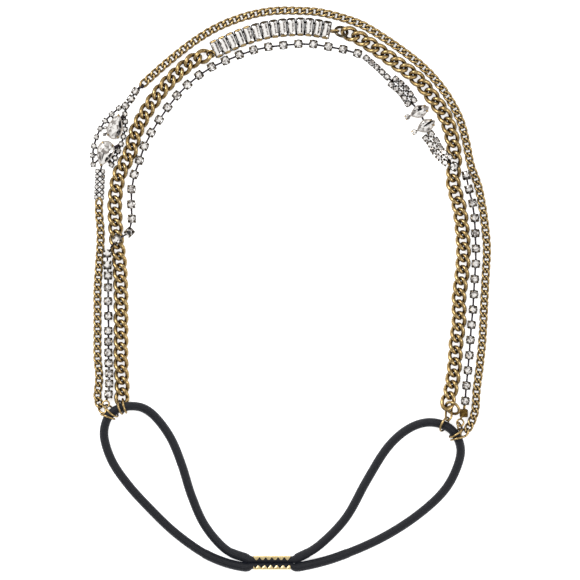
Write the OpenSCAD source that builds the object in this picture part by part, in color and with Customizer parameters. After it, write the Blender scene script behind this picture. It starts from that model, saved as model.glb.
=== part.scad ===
// A chain headband, laid flat with its front up, in millimetres.
// X runs across the head, Y from the elastic to the crown, and Z up from the table.

/* [Heavy curb chain] */
// Width of the heavy chain
heavy_width = 5.3; // [5.2:0.05:5.5]
// Thickness of a heavy link's wire
heavy_wire = 1.3; // [1.1:0.05:1.3]
// Links on the left side
heavy_left_count = 34; // [33:1:35]
// Links on the right side
heavy_right_count = 37; // [36:1:38]

/* [Fine curb chain] */
// Width of the fine chain
fine_width = 3.0; // [2.8:0.1:3.1]
// Height of the fine chain
fine_height = 2.0; // [1.8:0.1:2.1]

/* [Stones in cups] */
// Radius of a stone in the single rows
stone_radius = 1.3; // [1.15:0.05:1.3]
// Radius of a stone in the double rows
row_stone_radius = 0.95; // [0.9:0.05:1]
// Radius of a small stone in the leaf
halo_stone_radius = 0.8; // [0.7:0.02:0.8]
// Cups in the row across the crown
crown_cups = 25; // [24:1:25]
// Cups in the row down the right side
right_cups = 16; // [14:1:16]

/* [Baguette bar] */
// Baguettes in the bar
baguette_count = 14; // [12:1:14]
// Length of a baguette, across the bar
baguette_length = 5.3; // [5:0.1:5.5]
// Width of a baguette, along the bar
baguette_width = 2.3; // [2:0.05:2.35]

/* [Large stones] */
// Length of the upper pear stone
upper_pear_length = 8; // [7.5:0.1:8.1]
// Length of the lower pear stone
lower_pear_length = 8.2; // [7.8:0.1:8.4]
// Length of a marquise stone
marquise_length = 6.4; // [6:0.1:6.5]
// Width of a marquise stone
marquise_width = 3.6; // [3.3:0.1:3.7]

/* [Elastic and its crimp] */
// Diameter of the elastic
elastic_diameter = 3; // [2.8:0.1:3]
// Length of the crimp
crimp_length = 12.6; // [11:0.2:13]
// Width of the crimp
crimp_width = 4.9; // [4.9:0.1:5.3]

/* [Rings] */
// Wire of the rings round the elastic
ring_wire = 0.7; // [0.6:0.05:0.75]
// Bore of the rings round the elastic
ring_bore = 4.1; // [4.1:0.05:4.3]

/* [Hidden] */

brass = [0.6, 0.47, 0.24];
pale_gold = [0.85, 0.7, 0.4];
dark_silver = [0.5, 0.49, 0.46];
crystal = [0.9, 0.93, 0.95];
black = [0.1, 0.1, 0.12];

// A link's own proportions
link_twist = -55;
link_slack = 0.45;
link_rings = 12;
wire_sides = 5;
tube_sides = 8;

// Routes over the table, as [x, y, z], from the crown down to the elastic
heavy_left_route = [
    [-29.5, 79, 1.45], [-33, 77.5, 1.45], [-39, 72.5, 1.45], [-44.5, 66.5, 1.45],
    [-49, 60, 1.45], [-52.5, 53, 1.45], [-54.5, 46, 1.45], [-58, 39, 1.45],
    [-59.5, 31, 1.45], [-59.5, 24, 1.45], [-59, 16.5, 1.45], [-58, 9, 1.45],
    [-57.5, -2.5, 1.45], [-57.5, -10, 1.45], [-57.5, -18, 1.45], [-57.5, -25, 1.45],
    [-57.1, -33, 1.45], [-57.2, -37, 1.5]
];
heavy_right_route = [
    [20.5, 86.6, 1.45], [24, 85, 1.45], [27.5, 82.8, 1.45], [31, 80.4, 1.45],
    [36.5, 76.5, 1.45], [43, 71.6, 1.45], [48.3, 65.2, 1.45], [52.7, 58.6, 1.45],
    [55, 51.5, 1.45], [56, 44, 1.45], [55.5, 36, 1.45], [57.5, 28, 1.45],
    [58.5, 20.5, 1.45], [59, 12.5, 1.45], [58.5, 5, 1.45], [57.5, -3, 1.45],
    [57.5, -11, 1.45], [56.5, -18.5, 1.45], [56, -26, 1.45], [54.9, -33.5, 1.7],
    [53.7, -38.2, 2.7]
];
fine_left_route = [
    [-65, 29, 1], [-65, 25.5, 1], [-64.5, 20.5, 1], [-64.5, 15, 1], [-65, 7.5, 1],
    [-65.5, -0.5, 1], [-65.5, -8.5, 1], [-65.5, -16, 1], [-65.5, -23.5, 1],
    [-65, -28.5, 1], [-65, -32, 1], [-65.5, -36.5, 1], [-64.8, -39.5, 1.3]
];
fine_crown_route = [
    [-49.5, 70, 1], [-44, 75, 1], [-38, 80, 1], [-32, 84.5, 1], [-25.5, 88.5, 1],
    [-18.5, 91.5, 1], [-11.5, 93.5, 1], [-4.5, 94.5, 1], [3, 94.5, 1], [10, 94, 1],
    [17.6, 92.2, 1], [24.6, 89.7, 1], [31.5, 85.6, 1], [37.5, 81.5, 1], [44, 76.5, 1],
    [49.5, 71, 1], [54.5, 64, 1], [58, 57, 1], [60, 49.5, 1], [61.5, 42, 1],
    [64, 35, 1], [65.5, 27.5, 1], [66.5, 20, 1], [67, 13, 1], [66.5, 3, 1],
    [66, -7, 1], [65.5, -17, 1], [64.5, -27, 1], [63.5, -34.5, 1], [63, -41.5, 1],
    [61.5, -46, 1], [60, -48.3, 1.4]
];
crown_row_route = [
    [-59, 16.5, 3.45], [-54.5, 19.2, 1.6], [-53.8, 23.3, 0.32], [-54, 27.4, 0.07], [-54, 32.3, 0],
    [-53.6, 36.9, 0], [-51.8, 41.8, 0], [-50.2, 46.6, 0], [-48.4, 51, 0], [-43, 59.7, 0],
    [-37, 67.3, 0], [-29.5, 73.7, 0], [-24.8, 76.2, 0], [-20.4, 78.2, 0], [-15.8, 80, 0],
    [-11.4, 81.4, 0], [-6, 82.4, 0], [4.1, 83.3, 0], [9.2, 83, 0], [14.1, 82.1, 0],
    [19, 81.2, 0], [23, 80, 0]
];
// Cups of the left row, which lies pushed together, so that its steps differ
left_row_spots = [
    [-62.1, 12.2, 2.4], [-62.05, 8.2, 1.5], [-61.9, 4.6, 0.3], [-61.9, 0.4, 0.2], [-61.9, -4.3, 0.2],
    [-61.8, -9.3, 0.2], [-61.8, -14.4, 0.2], [-61.8, -18.1, 0.2], [-61.8, -21.8, 0.2],
    [-61.7, -25.4, 0.2], [-61.5, -28.9, 0.2], [-61.5, -32.4, 0.3], [-61.7, -36, 0.5]
];
right_row_route = [
    [59.8, 38.8, 2.7], [60.6, 34.8, 1.1], [61.8, 30.4, 0.1], [62.7, 25.5, 0.1], [63.1, 17.8, 0.1],
    [63.3, 10.2, 0.1], [62.8, 2.9, 0.1], [62.3, -6.6, 0.1], [61.6, -14.1, 0.1], [60.9, -24, 0.1],
    [60.2, -31.1, 0.1], [59.6, -38.2, 0.1]
];
elastic_route = [
    [-6.2, -94.25, 1.75], [-12.7, -94.25, 1.75], [-15, -94.75, 1.55], [-22, -93.2, 1.5],
    [-30, -89.6, 1.5], [-39.5, -82.7, 1.5], [-48, -74.5, 1.5], [-55, -66.8, 1.5],
    [-60.5, -58.8, 1.5], [-63.2, -50.5, 1.8], [-62.2, -44.5, 2.6], [-59.2, -41.3, 3.5],
    [-55, -40, 3.8], [-50, -40.6, 2.4], [-45.5, -44, 1.5], [-40.5, -51, 1.5],
    [-36.8, -60, 1.5], [-33.5, -70.5, 1.5], [-29, -80.5, 1.5], [-22, -88.6, 1.5],
    [-15, -91.6, 1.55], [-12.7, -92.15, 1.75], [0.4, -92.15, 1.75], [2.6, -91.6, 1.55],
    [10, -87.3, 1.5], [19, -78, 1.5], [26, -65.5, 1.5], [33, -54.3, 1.5],
    [40, -47.9, 1.6], [47, -45.5, 2.2], [53.5, -47, 2.6], [57.3, -51.5, 2.3],
    [57.7, -58, 1.5], [53, -68, 1.5], [43.5, -77, 1.5], [30.5, -85.2, 1.5],
    [15, -91.7, 1.5], [2.6, -94.75, 1.55], [0.4, -94.25, 1.75], [-5.9, -94.25, 1.75]
];

// Spots of the bar's baguettes run from this point along a shallow arc
bar_route = [[-25, 81.6, 0], [-16.3, 85.5, 0], [-7.8, 88, 0], [1, 89, 0], [7, 88.9, 0], [12.4, 88, 0]];

// Double row above the marquise stones, and the one below them that climbs on to the heavy chain
upper_row_route = [[35.2, 70.3, 0], [37.5, 68.4, 0], [39.3, 66.4, 0], [41.1, 63.5, 0]];
lower_row_route = [[47.2, 51.8, 0.2], [48.6, 49.9, 0.6], [49.7, 47.6, 1.4], [51.3, 45.5, 2.4], [53.5, 43.6, 3.45]];
shoulder_route = [[26, 78.4, 0], [28.3, 76.4, 0], [30.4, 74.5, 0], [33, 72, 0]];
row_gauge = 2.45;
shoulder_stone_radius = 0.96;
shoulder_count = 5;
row_count = 5;
over_chain_spot = [55.7, 41.4, 3.45];

// The marquise stones, as [x, y, turn], with a small stone at each one's lower tip
upper_marquise_place = [44.1, 60.3, 25];
lower_marquise_place = [46.3, 55.4, 28];
tip_stone_radius = 0.8;
tip_stone_reach = 4.55;

// The leaf: pear stones as [x, y, turn of the point], and the lines of small stones round them
upper_pear_place = [-59.36, 55.05, 75];
upper_pear_width = 4.6;
lower_pear_place = [-63.05, 45.95, -108];
lower_pear_width = 5;
leaf_outer_route = [[-58.3, 61.4, 0], [-62.9, 57.2, 0], [-65.7, 52, 0], [-67.2, 46.5, 0], [-67, 42.2, 0]];
leaf_outer_count = 8;
leaf_inner_route = [[-56.2, 59.4, 0], [-56, 55.4, 0], [-56.8, 51.2, 0], [-58.6, 46.2, 0], [-60.7, 42.1, 0]];
leaf_inner_count = 8;
leaf_top_route = [[-52.6, 67.1, 0], [-54.2, 64.4, 0], [-56, 62.1, 0]];
leaf_top_count = 3;
leaf_top_radius = 1.15;
leaf_filler_spots = [[-62.9, 54.8, 0.15], [-63.2, 52.4, 0.15]];
leaf_filler_radius = 0.5;
leaf_tail_route = [[-64.6, 39.9, 0], [-64.8, 35.5, 0], [-65, 31, 0]];
leaf_tail_count = 6;
leaf_tail_gauge = 1.9;
leaf_tail_stone_radius = 0.68;

// Smooth line through a route: a quarter-step curve between each pair of points
function bend(a, b, c, d, t) =
    0.5 * (2 * b + (c - a) * t + (2 * a - 5 * b + 4 * c - d) * t * t + (3 * b - a - 3 * c + d) * t * t * t);
function smooth(route, steps = 6) = [
    for (i = [0 : len(route) - 2], k = [0 : steps - 1])
        bend(route[max(i - 1, 0)], route[i], route[i + 1], route[min(i + 2, len(route) - 1)], k / steps),
    route[len(route) - 1]
];
// A line with its running length, as one table for each of x, y and z
function measured(line) =
    let (run = [for (i = 0, s = 0; i < len(line);
            s = s + (i + 1 < len(line) ? norm(line[i + 1] - line[i]) : 0), i = i + 1) s])
        [for (c = [0 : 2]) [for (i = [0 : len(line) - 1]) [run[i], line[i][c]]]];
function path_of(route) = measured(smooth(route));
function length_of(path) = path[0][len(path[0]) - 1][0];
function spot(path, s) = [for (c = path) lookup(s, c)];
function unit(v) = v / norm(v);
function heading(path, s, reach = 0.6) = unit(spot(path, s + reach) - spot(path, s - reach));
function turn_of(v) = atan2(v[1], v[0]);
function rise_of(v) = asin(v[2] / norm(v));
function even(path, count, first = 0, last = 0) =
    [for (i = [0 : count - 1]) first + (length_of(path) - first - last) * i / (count - 1)];

// A point of a piece's own frame, put down at a spot that looks along a heading
function put(p, at, along, roll = 0) =
    let (side = unit(cross([0, 0, 1], along)), up = cross(along, side),
        y = p[1] * cos(roll) - p[2] * sin(roll), z = p[1] * sin(roll) + p[2] * cos(roll))
        at + p[0] * along + y * side + z * up;

// Centre line of a curb link: an oval whose ends are twisted opposite ways
function link_line(u, half_length, half_width, twist, flat_end = false) =
    let (turn = twist * (flat_end ? min(cos(u), 0) : cos(u)))
        [half_length * cos(u), half_width * sin(u) * cos(turn), half_width * sin(u) * sin(turn)];
function link_points(half_length, half_width, twist, wire, flat_end = false) = [
    for (i = [0 : link_rings - 1])
        let (u = 360 * i / link_rings, c = link_line(u, half_length, half_width, twist, flat_end),
            along = unit(link_line(u + 1, half_length, half_width, twist, flat_end)
                - link_line(u - 1, half_length, half_width, twist, flat_end)),
            turn = twist * (flat_end ? min(cos(u), 0) : cos(u)),
            away = [cos(u) / half_length, sin(u) * cos(turn) / half_width, sin(u) * sin(turn) / half_width],
            out = unit(away - (away * along) * along), over = cross(along, out))
            for (j = [0 : wire_sides - 1])
                c + wire / 2 * (cos(360 * j / wire_sides) * out + sin(360 * j / wire_sides) * over)
];
function loop_faces(rings, sides, start = 0) = [
    for (i = [0 : rings - 1], j = [0 : sides - 1])
        let (a = i * sides, b = (i + 1) % rings * sides, k = (j + 1) % sides)
            each [[start + a + j, start + b + j, start + a + k], [start + a + k, start + b + j, start + b + k]]
];

// A whole chain of links along a path, as loose solids in one polyhedron. The last link's free end is flat.
module curb_chain(path, count, width, wire, rolls = [[0, 0], [1, 0]]) {
    pitch = length_of(path) / (count - 1);
    half_length = (pitch + wire + link_slack) / 2;
    half_width = (width - wire) / 2;
    base = link_points(half_length, half_width, link_twist, wire);
    last = link_points(half_length, half_width, link_twist, wire, true);
    links = [
        for (i = [0 : count - 1])
            let (s = pitch * i, at = spot(path, s), along = heading(path, s, pitch / 2))
                for (p = (i == count - 1 ? last : base)) put(p, at, along, lookup(i / (count - 1), rolls))
    ];
    faces = [for (i = [0 : count - 1]) each loop_faces(link_rings, wire_sides, i * len(base))];
    polyhedron(links, faces, convexity = 10);
}

function tube_faces(last) = concat(
    [for (i = [0 : last - 1], j = [0 : tube_sides - 1])
        let (a = i * tube_sides, b = a + tube_sides, k = (j + 1) % tube_sides)
            each [[a + j, b + j, a + k], [a + k, b + j, b + k]]],
    [[for (j = [0 : tube_sides - 1]) j], [for (j = [tube_sides - 1 : -1 : 0]) last * tube_sides + j]]
);
// A tube of oval section along a path, with a ring at each station
module tube(path, stations, half_width, half_height) {
    last = len(stations) - 1;
    points = [
        for (i = [0 : last])
            let (s = stations[i], w = is_list(half_width) ? lookup(s, half_width) : half_width,
                h = is_list(half_height) ? lookup(s, half_height) : half_height)
                for (j = [0 : tube_sides - 1])
                    let (a = 360 * (j + 0.5) / tube_sides)
                        put([0, w * cos(a), h * sin(a)], spot(path, s), heading(path, s))
    ];
    polyhedron(points, tube_faces(last), convexity = 10);
}

// Outlines of the cut stones, seen from above
function round_outline(radius, sides = 8) =
    [for (i = [0 : sides - 1]) let (a = 360 * (i + 0.5) / sides) radius * [cos(a), sin(a)]];
function pear_outline(length, width, sides = 14) =
    [for (i = [0 : sides - 1]) let (a = 360 * i / sides)
        [length / 2 * cos(a), 0.62 * width * sin(a) * pow(sin(a / 2), 0.75)]];
function marquise_outline(length, width, sides = 12) =
    [for (i = [0 : sides - 1]) let (a = 360 * i / sides)
        [length / 2 * cos(a), width / 2 * sin(a) * abs(sin(a))]];
function brick_outline(length, width, corner) =
    [[length / 2, -width / 2 + corner], [length / 2, width / 2 - corner], [length / 2 - corner, width / 2],
     [-length / 2 + corner, width / 2], [-length / 2, width / 2 - corner], [-length / 2, -width / 2 + corner],
     [-length / 2 + corner, -width / 2], [length / 2 - corner, -width / 2]];

// A cut stone: a table, a ring of crown facets and a ring of pavilion facets down to the culet
function stone_points(outline, table, crown, depth) = concat(
    [for (p = outline) [table * p[0], table * p[1], crown]],
    [for (p = outline) [p[0], p[1], 0]],
    [[0, 0, -depth]]
);
function stone_faces(sides, start = 0) = concat(
    [[for (j = [sides - 1 : -1 : 0]) start + j]],
    [for (j = [0 : sides - 1]) let (k = (j + 1) % sides)
        each [[start + j, start + k, start + sides + j], [start + k, start + sides + k, start + sides + j],
            [start + sides + j, start + sides + k, start + 2 * sides]]]
);
module stone(outline, table, crown, depth) {
    polyhedron(stone_points(outline, table, crown, depth), stone_faces(len(outline)));
}
// A baguette: table, girdle and keel are three bricks
module baguette_stone(length, width) {
    bricks = [[brick_outline(length - 1, width - 1, 0.12), 0.45], [brick_outline(length, width, 0.2), 0],
        [brick_outline(length - 1.4, 0.4, 0.12), -0.72]];
    points = [for (q = bricks, p = q[0]) [p[0], p[1], q[1]]];
    walls = [for (i = [0, 1], j = [0 : 7]) let (a = 8 * i, b = a + 8, k = (j + 1) % 8)
        each [[a + j, a + k, b + j], [a + k, b + k, b + j]]];
    polyhedron(points, concat([[for (j = [7 : -1 : 0]) j], [for (j = [0 : 7]) 16 + j]], walls));
}

// A round cup: floor, wall and four claws bent in over the stone. Sizes go with the stone's radius.
cup_floor = 0.36;
cup_wall_top = 1.2;
cup_bore = 1.06;
cup_outside = 1.17;
girdle_height = 1.12;
stone_crown = 0.5;
stone_depth = 0.66;
stone_table = 0.6;
module cup(radius, claws = [45, 135, 225, 315]) {
    scale(radius) {
        rotate_extrude($fn = 40)
            polygon([[0, 0], [cup_outside, 0], [cup_outside, cup_wall_top], [cup_bore, cup_wall_top],
                [cup_bore, cup_floor], [0, cup_floor]]);
        for (a = claws)
            rotate([0, 0, a]) rotate([90, 0, 0]) linear_extrude(0.34, center = true)
                polygon([[1.07, 0.1], [1.36, 0.1], [1.36, 1.32], [1.1, 1.7], [0.86, 1.7], [1.07, 1.3]]);
    }
}
// Loose round stones in their cups: places are [spot, heading]
module round_stones(places, radius) {
    base = stone_points(round_outline(radius), stone_table, stone_crown * radius, stone_depth * radius);
    points = [for (q = places, p = base) put(p + [0, 0, girdle_height * radius], q[0], q[1])];
    faces = [for (i = [0 : len(places) - 1]) each stone_faces(8, i * len(base))];
    polyhedron(points, faces, convexity = 6);
}
module at_place(q) {
    translate(q[0]) rotate([0, -rise_of(q[1]), turn_of(q[1])]) children();
}
// A flat bar from one cup's floor to the next
module cup_bar(from, to, width = 0.6, height = 0.3, lift = 0.06) {
    way = to - from;
    translate(from + [0, 0, lift]) rotate([0, -rise_of(way), turn_of(way)])
        translate([0, -width / 2, 0]) cube([norm(way), width, height]);
}
function places_on(path, stations) = [for (s = stations) [spot(path, s), heading(path, s, 1.5)]];
module cup_row(places, radius) {
    for (q = places) at_place(q) cup(radius);
    for (i = [0 : len(places) - 2]) cup_bar(places[i][0], places[i + 1][0]);
}

// A standing ring of round wire
module wire_ring(bore, wire) {
    rotate([90, 0, 0]) rotate_extrude($fn = 48) translate([(bore + wire) / 2, 0]) circle(d = wire, $fn = 24);
}
// Puts a ring down as [x, y, z, turn, lean, rise]: leaned over its long side, that side raised, then turned
module ring_at(place) {
    translate([place[0], place[1], place[2]]) rotate([place[4], -place[5], place[3]]) children();
}
// An oval link: two half rings and two straight sides, standing with its long side level
module oval_link(bore, wire, straight) {
    r = (bore + wire) / 2;
    rotate([90, 0, 0]) {
        for (m = [0, 1]) mirror([m, 0, 0]) translate([straight / 2, 0, 0]) rotate([0, 0, -90])
            rotate_extrude(angle = 180, $fn = 48) translate([r, 0]) circle(d = wire, $fn = 24);
        for (m = [0, 1]) mirror([0, m, 0]) translate([0, r, 0]) rotate([0, 90, 0])
            cylinder(d = wire, h = straight, center = true, $fn = 24);
    }
}

// Paths worked out from the routes
heavy_left_path = path_of(heavy_left_route);
heavy_right_path = path_of(heavy_right_route);
fine_left_path = path_of(fine_left_route);
fine_crown_path = path_of(fine_crown_route);
crown_row_path = path_of(crown_row_route);
right_row_path = path_of(right_row_route);
elastic_path = path_of(elastic_route);
bar_path = path_of(bar_route);

// Gap between the crown row's last bar and the left row's first cup
row_gap = 0.45;
crown_places = places_on(crown_row_path, even(crown_row_path, crown_cups));
left_cups = len(left_row_spots);
left_places = [for (i = [0 : left_cups - 1])
    [left_row_spots[i], unit(left_row_spots[min(i + 1, left_cups - 1)] - left_row_spots[max(i - 1, 0)])]];
right_places = places_on(right_row_path, even(right_row_path, right_cups));

module heavy_chain_left() {
    color(brass) curb_chain(heavy_left_path, heavy_left_count, heavy_width, heavy_wire);
}
module heavy_chain_right() {
    color(brass) curb_chain(heavy_right_path, heavy_right_count, heavy_width, heavy_wire);
}
module fine_chain_left() {
    color(brass) tube(fine_left_path, even(fine_left_path, 11), fine_width / 2, fine_height / 2);
}
module fine_chain_crown() {
    color(brass) tube(fine_crown_path, even(fine_crown_path, 38), fine_width / 2, fine_height / 2);
}
module crown_row_cups() {
    color(dark_silver) {
        cup_row(crown_places, stone_radius);
        cup_bar(crown_places[0][0], left_places[0][0]
            + (stone_radius * cup_outside + row_gap) * unit(crown_places[0][0] - left_places[0][0]));
    }
}
module crown_row_stones() {
    color(crystal) round_stones(crown_places, stone_radius);
}
module left_row_cups() {
    last = left_places[left_cups - 1][0];
    color(dark_silver) {
        cup_row(left_places, stone_radius);
        cup_bar(last + [-0.5, -1.1, 0.3], left_loop_spot + [0.2, 1.15, -0.25], 0.7, 0.5);
        ring_at(left_loop_place) wire_ring(end_loop_bore, end_loop_wire);
    }
}
module left_row_stones() {
    color(crystal) round_stones(left_places, stone_radius);
}
module right_row_cups() {
    last = right_places[right_cups - 1][0];
    color(dark_silver) {
        cup_row(right_places, stone_radius);
        cup_bar(last, [end_box_spot[0], end_box_spot[1], 0.14], 0.9, 0.25, 0.08);
        translate(end_box_spot - [end_box_side / 2, end_box_side / 2, 0])
            cube([end_box_side, end_box_side, end_box_height]);
        cup_bar(end_box_spot + [-0.5, -0.7, 1.5], right_loop_spot + [0.1, 1.22, -0.32], 0.8, 0.5);
        ring_at(right_loop_place) wire_ring(end_loop_bore, end_loop_wire);
    }
}
module right_row_stones() {
    color(crystal) round_stones(right_places, stone_radius);
}

// Baguette bar
bar_places = places_on(bar_path, even(bar_path, baguette_count));
// Just outside each end tray's outer wall, where its loop's arm starts
wall_reach = baguette_width / 2 + 0.4;
bar_left_wall = put([-wall_reach - 0.02, -0.9, 0.65], bar_places[0][0], bar_places[0][1]);
bar_right_wall = put([wall_reach, 0.2, 0.65], bar_places[baguette_count - 1][0], bar_places[baguette_count - 1][1]);
tray_wall = 0.2;
tray_tab = 1.9;
tray_gap = 0.07;
tray_floor = 0.36;
tray_height = 1.2;
bar_loop_bore = 1.9;
bar_loop_wire = 0.7;
bar_left_loop_place = [-26.95, 79.8, 1.7, -22, -53, -3];
bar_right_loop_place = [15.2, 87.45, 2.4, -3, -13, -25];
module bar_tray() {
    inner = [baguette_width + 2 * tray_gap, baguette_length + 2 * tray_gap];
    outer = inner + [2 * tray_wall, 2 * tray_wall];
    difference() {
        translate([-outer[0] / 2, -outer[1] / 2, 0]) cube([outer[0], outer[1], tray_height]);
        translate([-inner[0] / 2, -inner[1] / 2, tray_floor]) cube([inner[0], inner[1], tray_height]);
    }
    for (m = [0, 1])
        mirror([0, m, 0]) translate([tray_tab / 2, inner[1] / 2, 0]) rotate([0, -90, 0]) linear_extrude(tray_tab)
            polygon([[0.1, 0.05], [0.1, 0.42], [1.3, 0.42], [1.78, 0.05], [1.78, -0.3], [1.36, 0.02]]);
}
// A loop, and the arm that holds it out from the end tray's wall
module bar_end_loop(place, wall, loop_side) {
    ring_at(place) wire_ring(bar_loop_bore, bar_loop_wire);
    cup_bar(wall, loop_side, 0.56, 0.36, 0);
}
module bar_setting() {
    last = baguette_count - 1;
    color(brass) {
        for (q = bar_places) at_place(q) bar_tray();
        for (i = [0 : last - 1], y = [-1.6, 1.6])
            cup_bar(put([0, y, 0], bar_places[i][0], bar_places[i][1]),
                put([0, y, 0], bar_places[i + 1][0], bar_places[i + 1][1]), 0.7, 0.26, 0.05);
        bar_end_loop(bar_left_loop_place, bar_left_wall, [-26.22, 80.16, 2.3]);
        bar_end_loop(bar_right_loop_place, bar_right_wall, [14.3, 87.3, 1.5]);
    }
}
module baguette(i) {
    color(crystal) at_place(bar_places[i]) translate([0, 0, 1.2]) rotate([0, 0, 90])
        baguette_stone(baguette_length, baguette_width);
}
jump_bore = 3.1;
jump_wire = 1;
jump_ring_place = [17.45, 87.35, 1.9, 33, 68, -33];
module bar_jump_ring() {
    color(dark_silver) ring_at(jump_ring_place) wire_ring(jump_bore, jump_wire);
}

// Walled seat of a large stone: floor, wall and claws at its tips
seat_gap = 0.12;
seat_wall = 0.26;
seat_floor = 0.4;
seat_height = 1.45;
module seat(outer, inner) {
    difference() {
        linear_extrude(seat_height) polygon(outer);
        translate([0, 0, seat_floor]) linear_extrude(seat_height) polygon(inner);
    }
}
module tip_claw(reach, inward = 0.62) {
    translate([0, 0.25, 0]) rotate([90, 0, 0]) linear_extrude(0.5)
        polygon([[reach - 0.2, 0.1], [reach + 0.22, 0.1], [reach + 0.22, 1.7], [reach - 0.15, 2.15],
            [reach - inward, 2.15], [reach - 0.2, 1.6]]);
}

// Double rows: each place of the middle line gives one on each side
function both_sides(places, gauge) = [for (m = [-0.5, 0.5], q = places) [put([0, m * gauge, 0], q[0], q[1]), q[1]]];
module double_row(places, gauge, radius, bar_height = 0.3) {
    sides = both_sides(places, gauge);
    count = len(places);
    for (q = sides) at_place(q) cup(radius);
    for (i = [0 : count - 2], m = [0, count]) cup_bar(sides[m + i][0], sides[m + i + 1][0], 0.6, bar_height);
    for (i = [0 : count - 1]) cup_bar(sides[i][0], sides[count + i][0], 0.6, bar_height);
}
upper_row_path = path_of(upper_row_route);
lower_row_path = path_of(lower_row_route);
shoulder_path = path_of(shoulder_route);
upper_row_places = places_on(upper_row_path, even(upper_row_path, row_count));
lower_row_places = places_on(lower_row_path, even(lower_row_path, row_count));
shoulder_places = places_on(shoulder_path, even(shoulder_path, shoulder_count));
over_chain_place = [over_chain_spot, unit([1, -0.7, 0])];
function flat_spot(place) = [place[0], place[1], 0];
function tip_spot(place) = flat_spot(place) - tip_stone_reach * [cos(place[2]), sin(place[2]), 0];
tip_places = [for (q = [upper_marquise_place, lower_marquise_place]) [tip_spot(q), [cos(q[2]), sin(q[2]), 0]]];

module marquise_seat(place) {
    translate(flat_spot(place)) rotate([0, 0, place[2]]) {
        seat(marquise_outline(marquise_length + 2 * (seat_gap + seat_wall), marquise_width + 2 * (seat_gap + seat_wall)),
            marquise_outline(marquise_length + 2 * seat_gap, marquise_width + 2 * seat_gap));
        for (a = [-24, 24]) rotate([0, 0, a]) tip_claw(0.395 * marquise_length + seat_gap + 0.1);
    }
}
module marquise_setting() {
    color(dark_silver) {
        for (q = shoulder_places) at_place(q) cup(shoulder_stone_radius);
        for (i = [0 : shoulder_count - 2]) cup_bar(shoulder_places[i][0], shoulder_places[i + 1][0]);
        cup_bar(shoulder_places[shoulder_count - 1][0], upper_row_places[0][0]);
        double_row(upper_row_places, row_gauge, row_stone_radius);
        cup_bar(upper_row_places[row_count - 1][0], flat_spot(upper_marquise_place));
        marquise_seat(upper_marquise_place);
        cup_bar(flat_spot(upper_marquise_place), flat_spot(lower_marquise_place));
        marquise_seat(lower_marquise_place);
        cup_bar(flat_spot(lower_marquise_place), lower_row_places[0][0]);
        double_row(lower_row_places, row_gauge, row_stone_radius);
        cup_bar(lower_row_places[row_count - 1][0], over_chain_spot);
        at_place(over_chain_place) cup(stone_radius);
        for (q = tip_places) at_place(q) cup(tip_stone_radius, [135, 225]);
        for (i = [0, 1])
            cup_bar(tip_places[i][0], flat_spot([upper_marquise_place, lower_marquise_place][i]), 0.6, 0.1);
    }
}
module marquise_stone(place) {
    color(crystal) translate(flat_spot(place) + [0, 0, 1.35]) rotate([0, 0, place[2]])
        stone(marquise_outline(marquise_length, marquise_width), 0.55, 0.75, 0.85);
}
module marquise_small_stones() {
    color(crystal) {
        round_stones(shoulder_places, shoulder_stone_radius);
        round_stones(both_sides(upper_row_places, row_gauge), row_stone_radius);
        round_stones(both_sides(lower_row_places, row_gauge), row_stone_radius);
        round_stones([over_chain_place], stone_radius);
        round_stones(tip_places, tip_stone_radius);
    }
}

// Leaf ornament
leaf_outer_path = path_of(leaf_outer_route);
leaf_inner_path = path_of(leaf_inner_route);
leaf_top_path = path_of(leaf_top_route);
leaf_tail_path = path_of(leaf_tail_route);
leaf_outer_places = places_on(leaf_outer_path, even(leaf_outer_path, leaf_outer_count));
leaf_inner_places = places_on(leaf_inner_path, even(leaf_inner_path, leaf_inner_count));
leaf_top_places = places_on(leaf_top_path, even(leaf_top_path, leaf_top_count));
leaf_tail_places = places_on(leaf_tail_path, even(leaf_tail_path, leaf_tail_count));
leaf_filler_places = [for (q = leaf_filler_spots) [q, [0, 1, 0]]];
leaf_joint_spot = [-50.6, 68.9, 0];
module pear_seat(place, length, width) {
    translate(flat_spot(place)) rotate([0, 0, place[2]]) {
        seat(pear_outline(length + 2 * (seat_gap + seat_wall), width + 2 * (seat_gap + seat_wall)),
            pear_outline(length + 2 * seat_gap, width + 2 * seat_gap));
        tip_claw(length / 2 + seat_gap + 0.1);
        for (a = [152, 208]) rotate([0, 0, a]) tip_claw(0.46 * length + seat_gap + 0.1, 0.5);
    }
}
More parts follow.
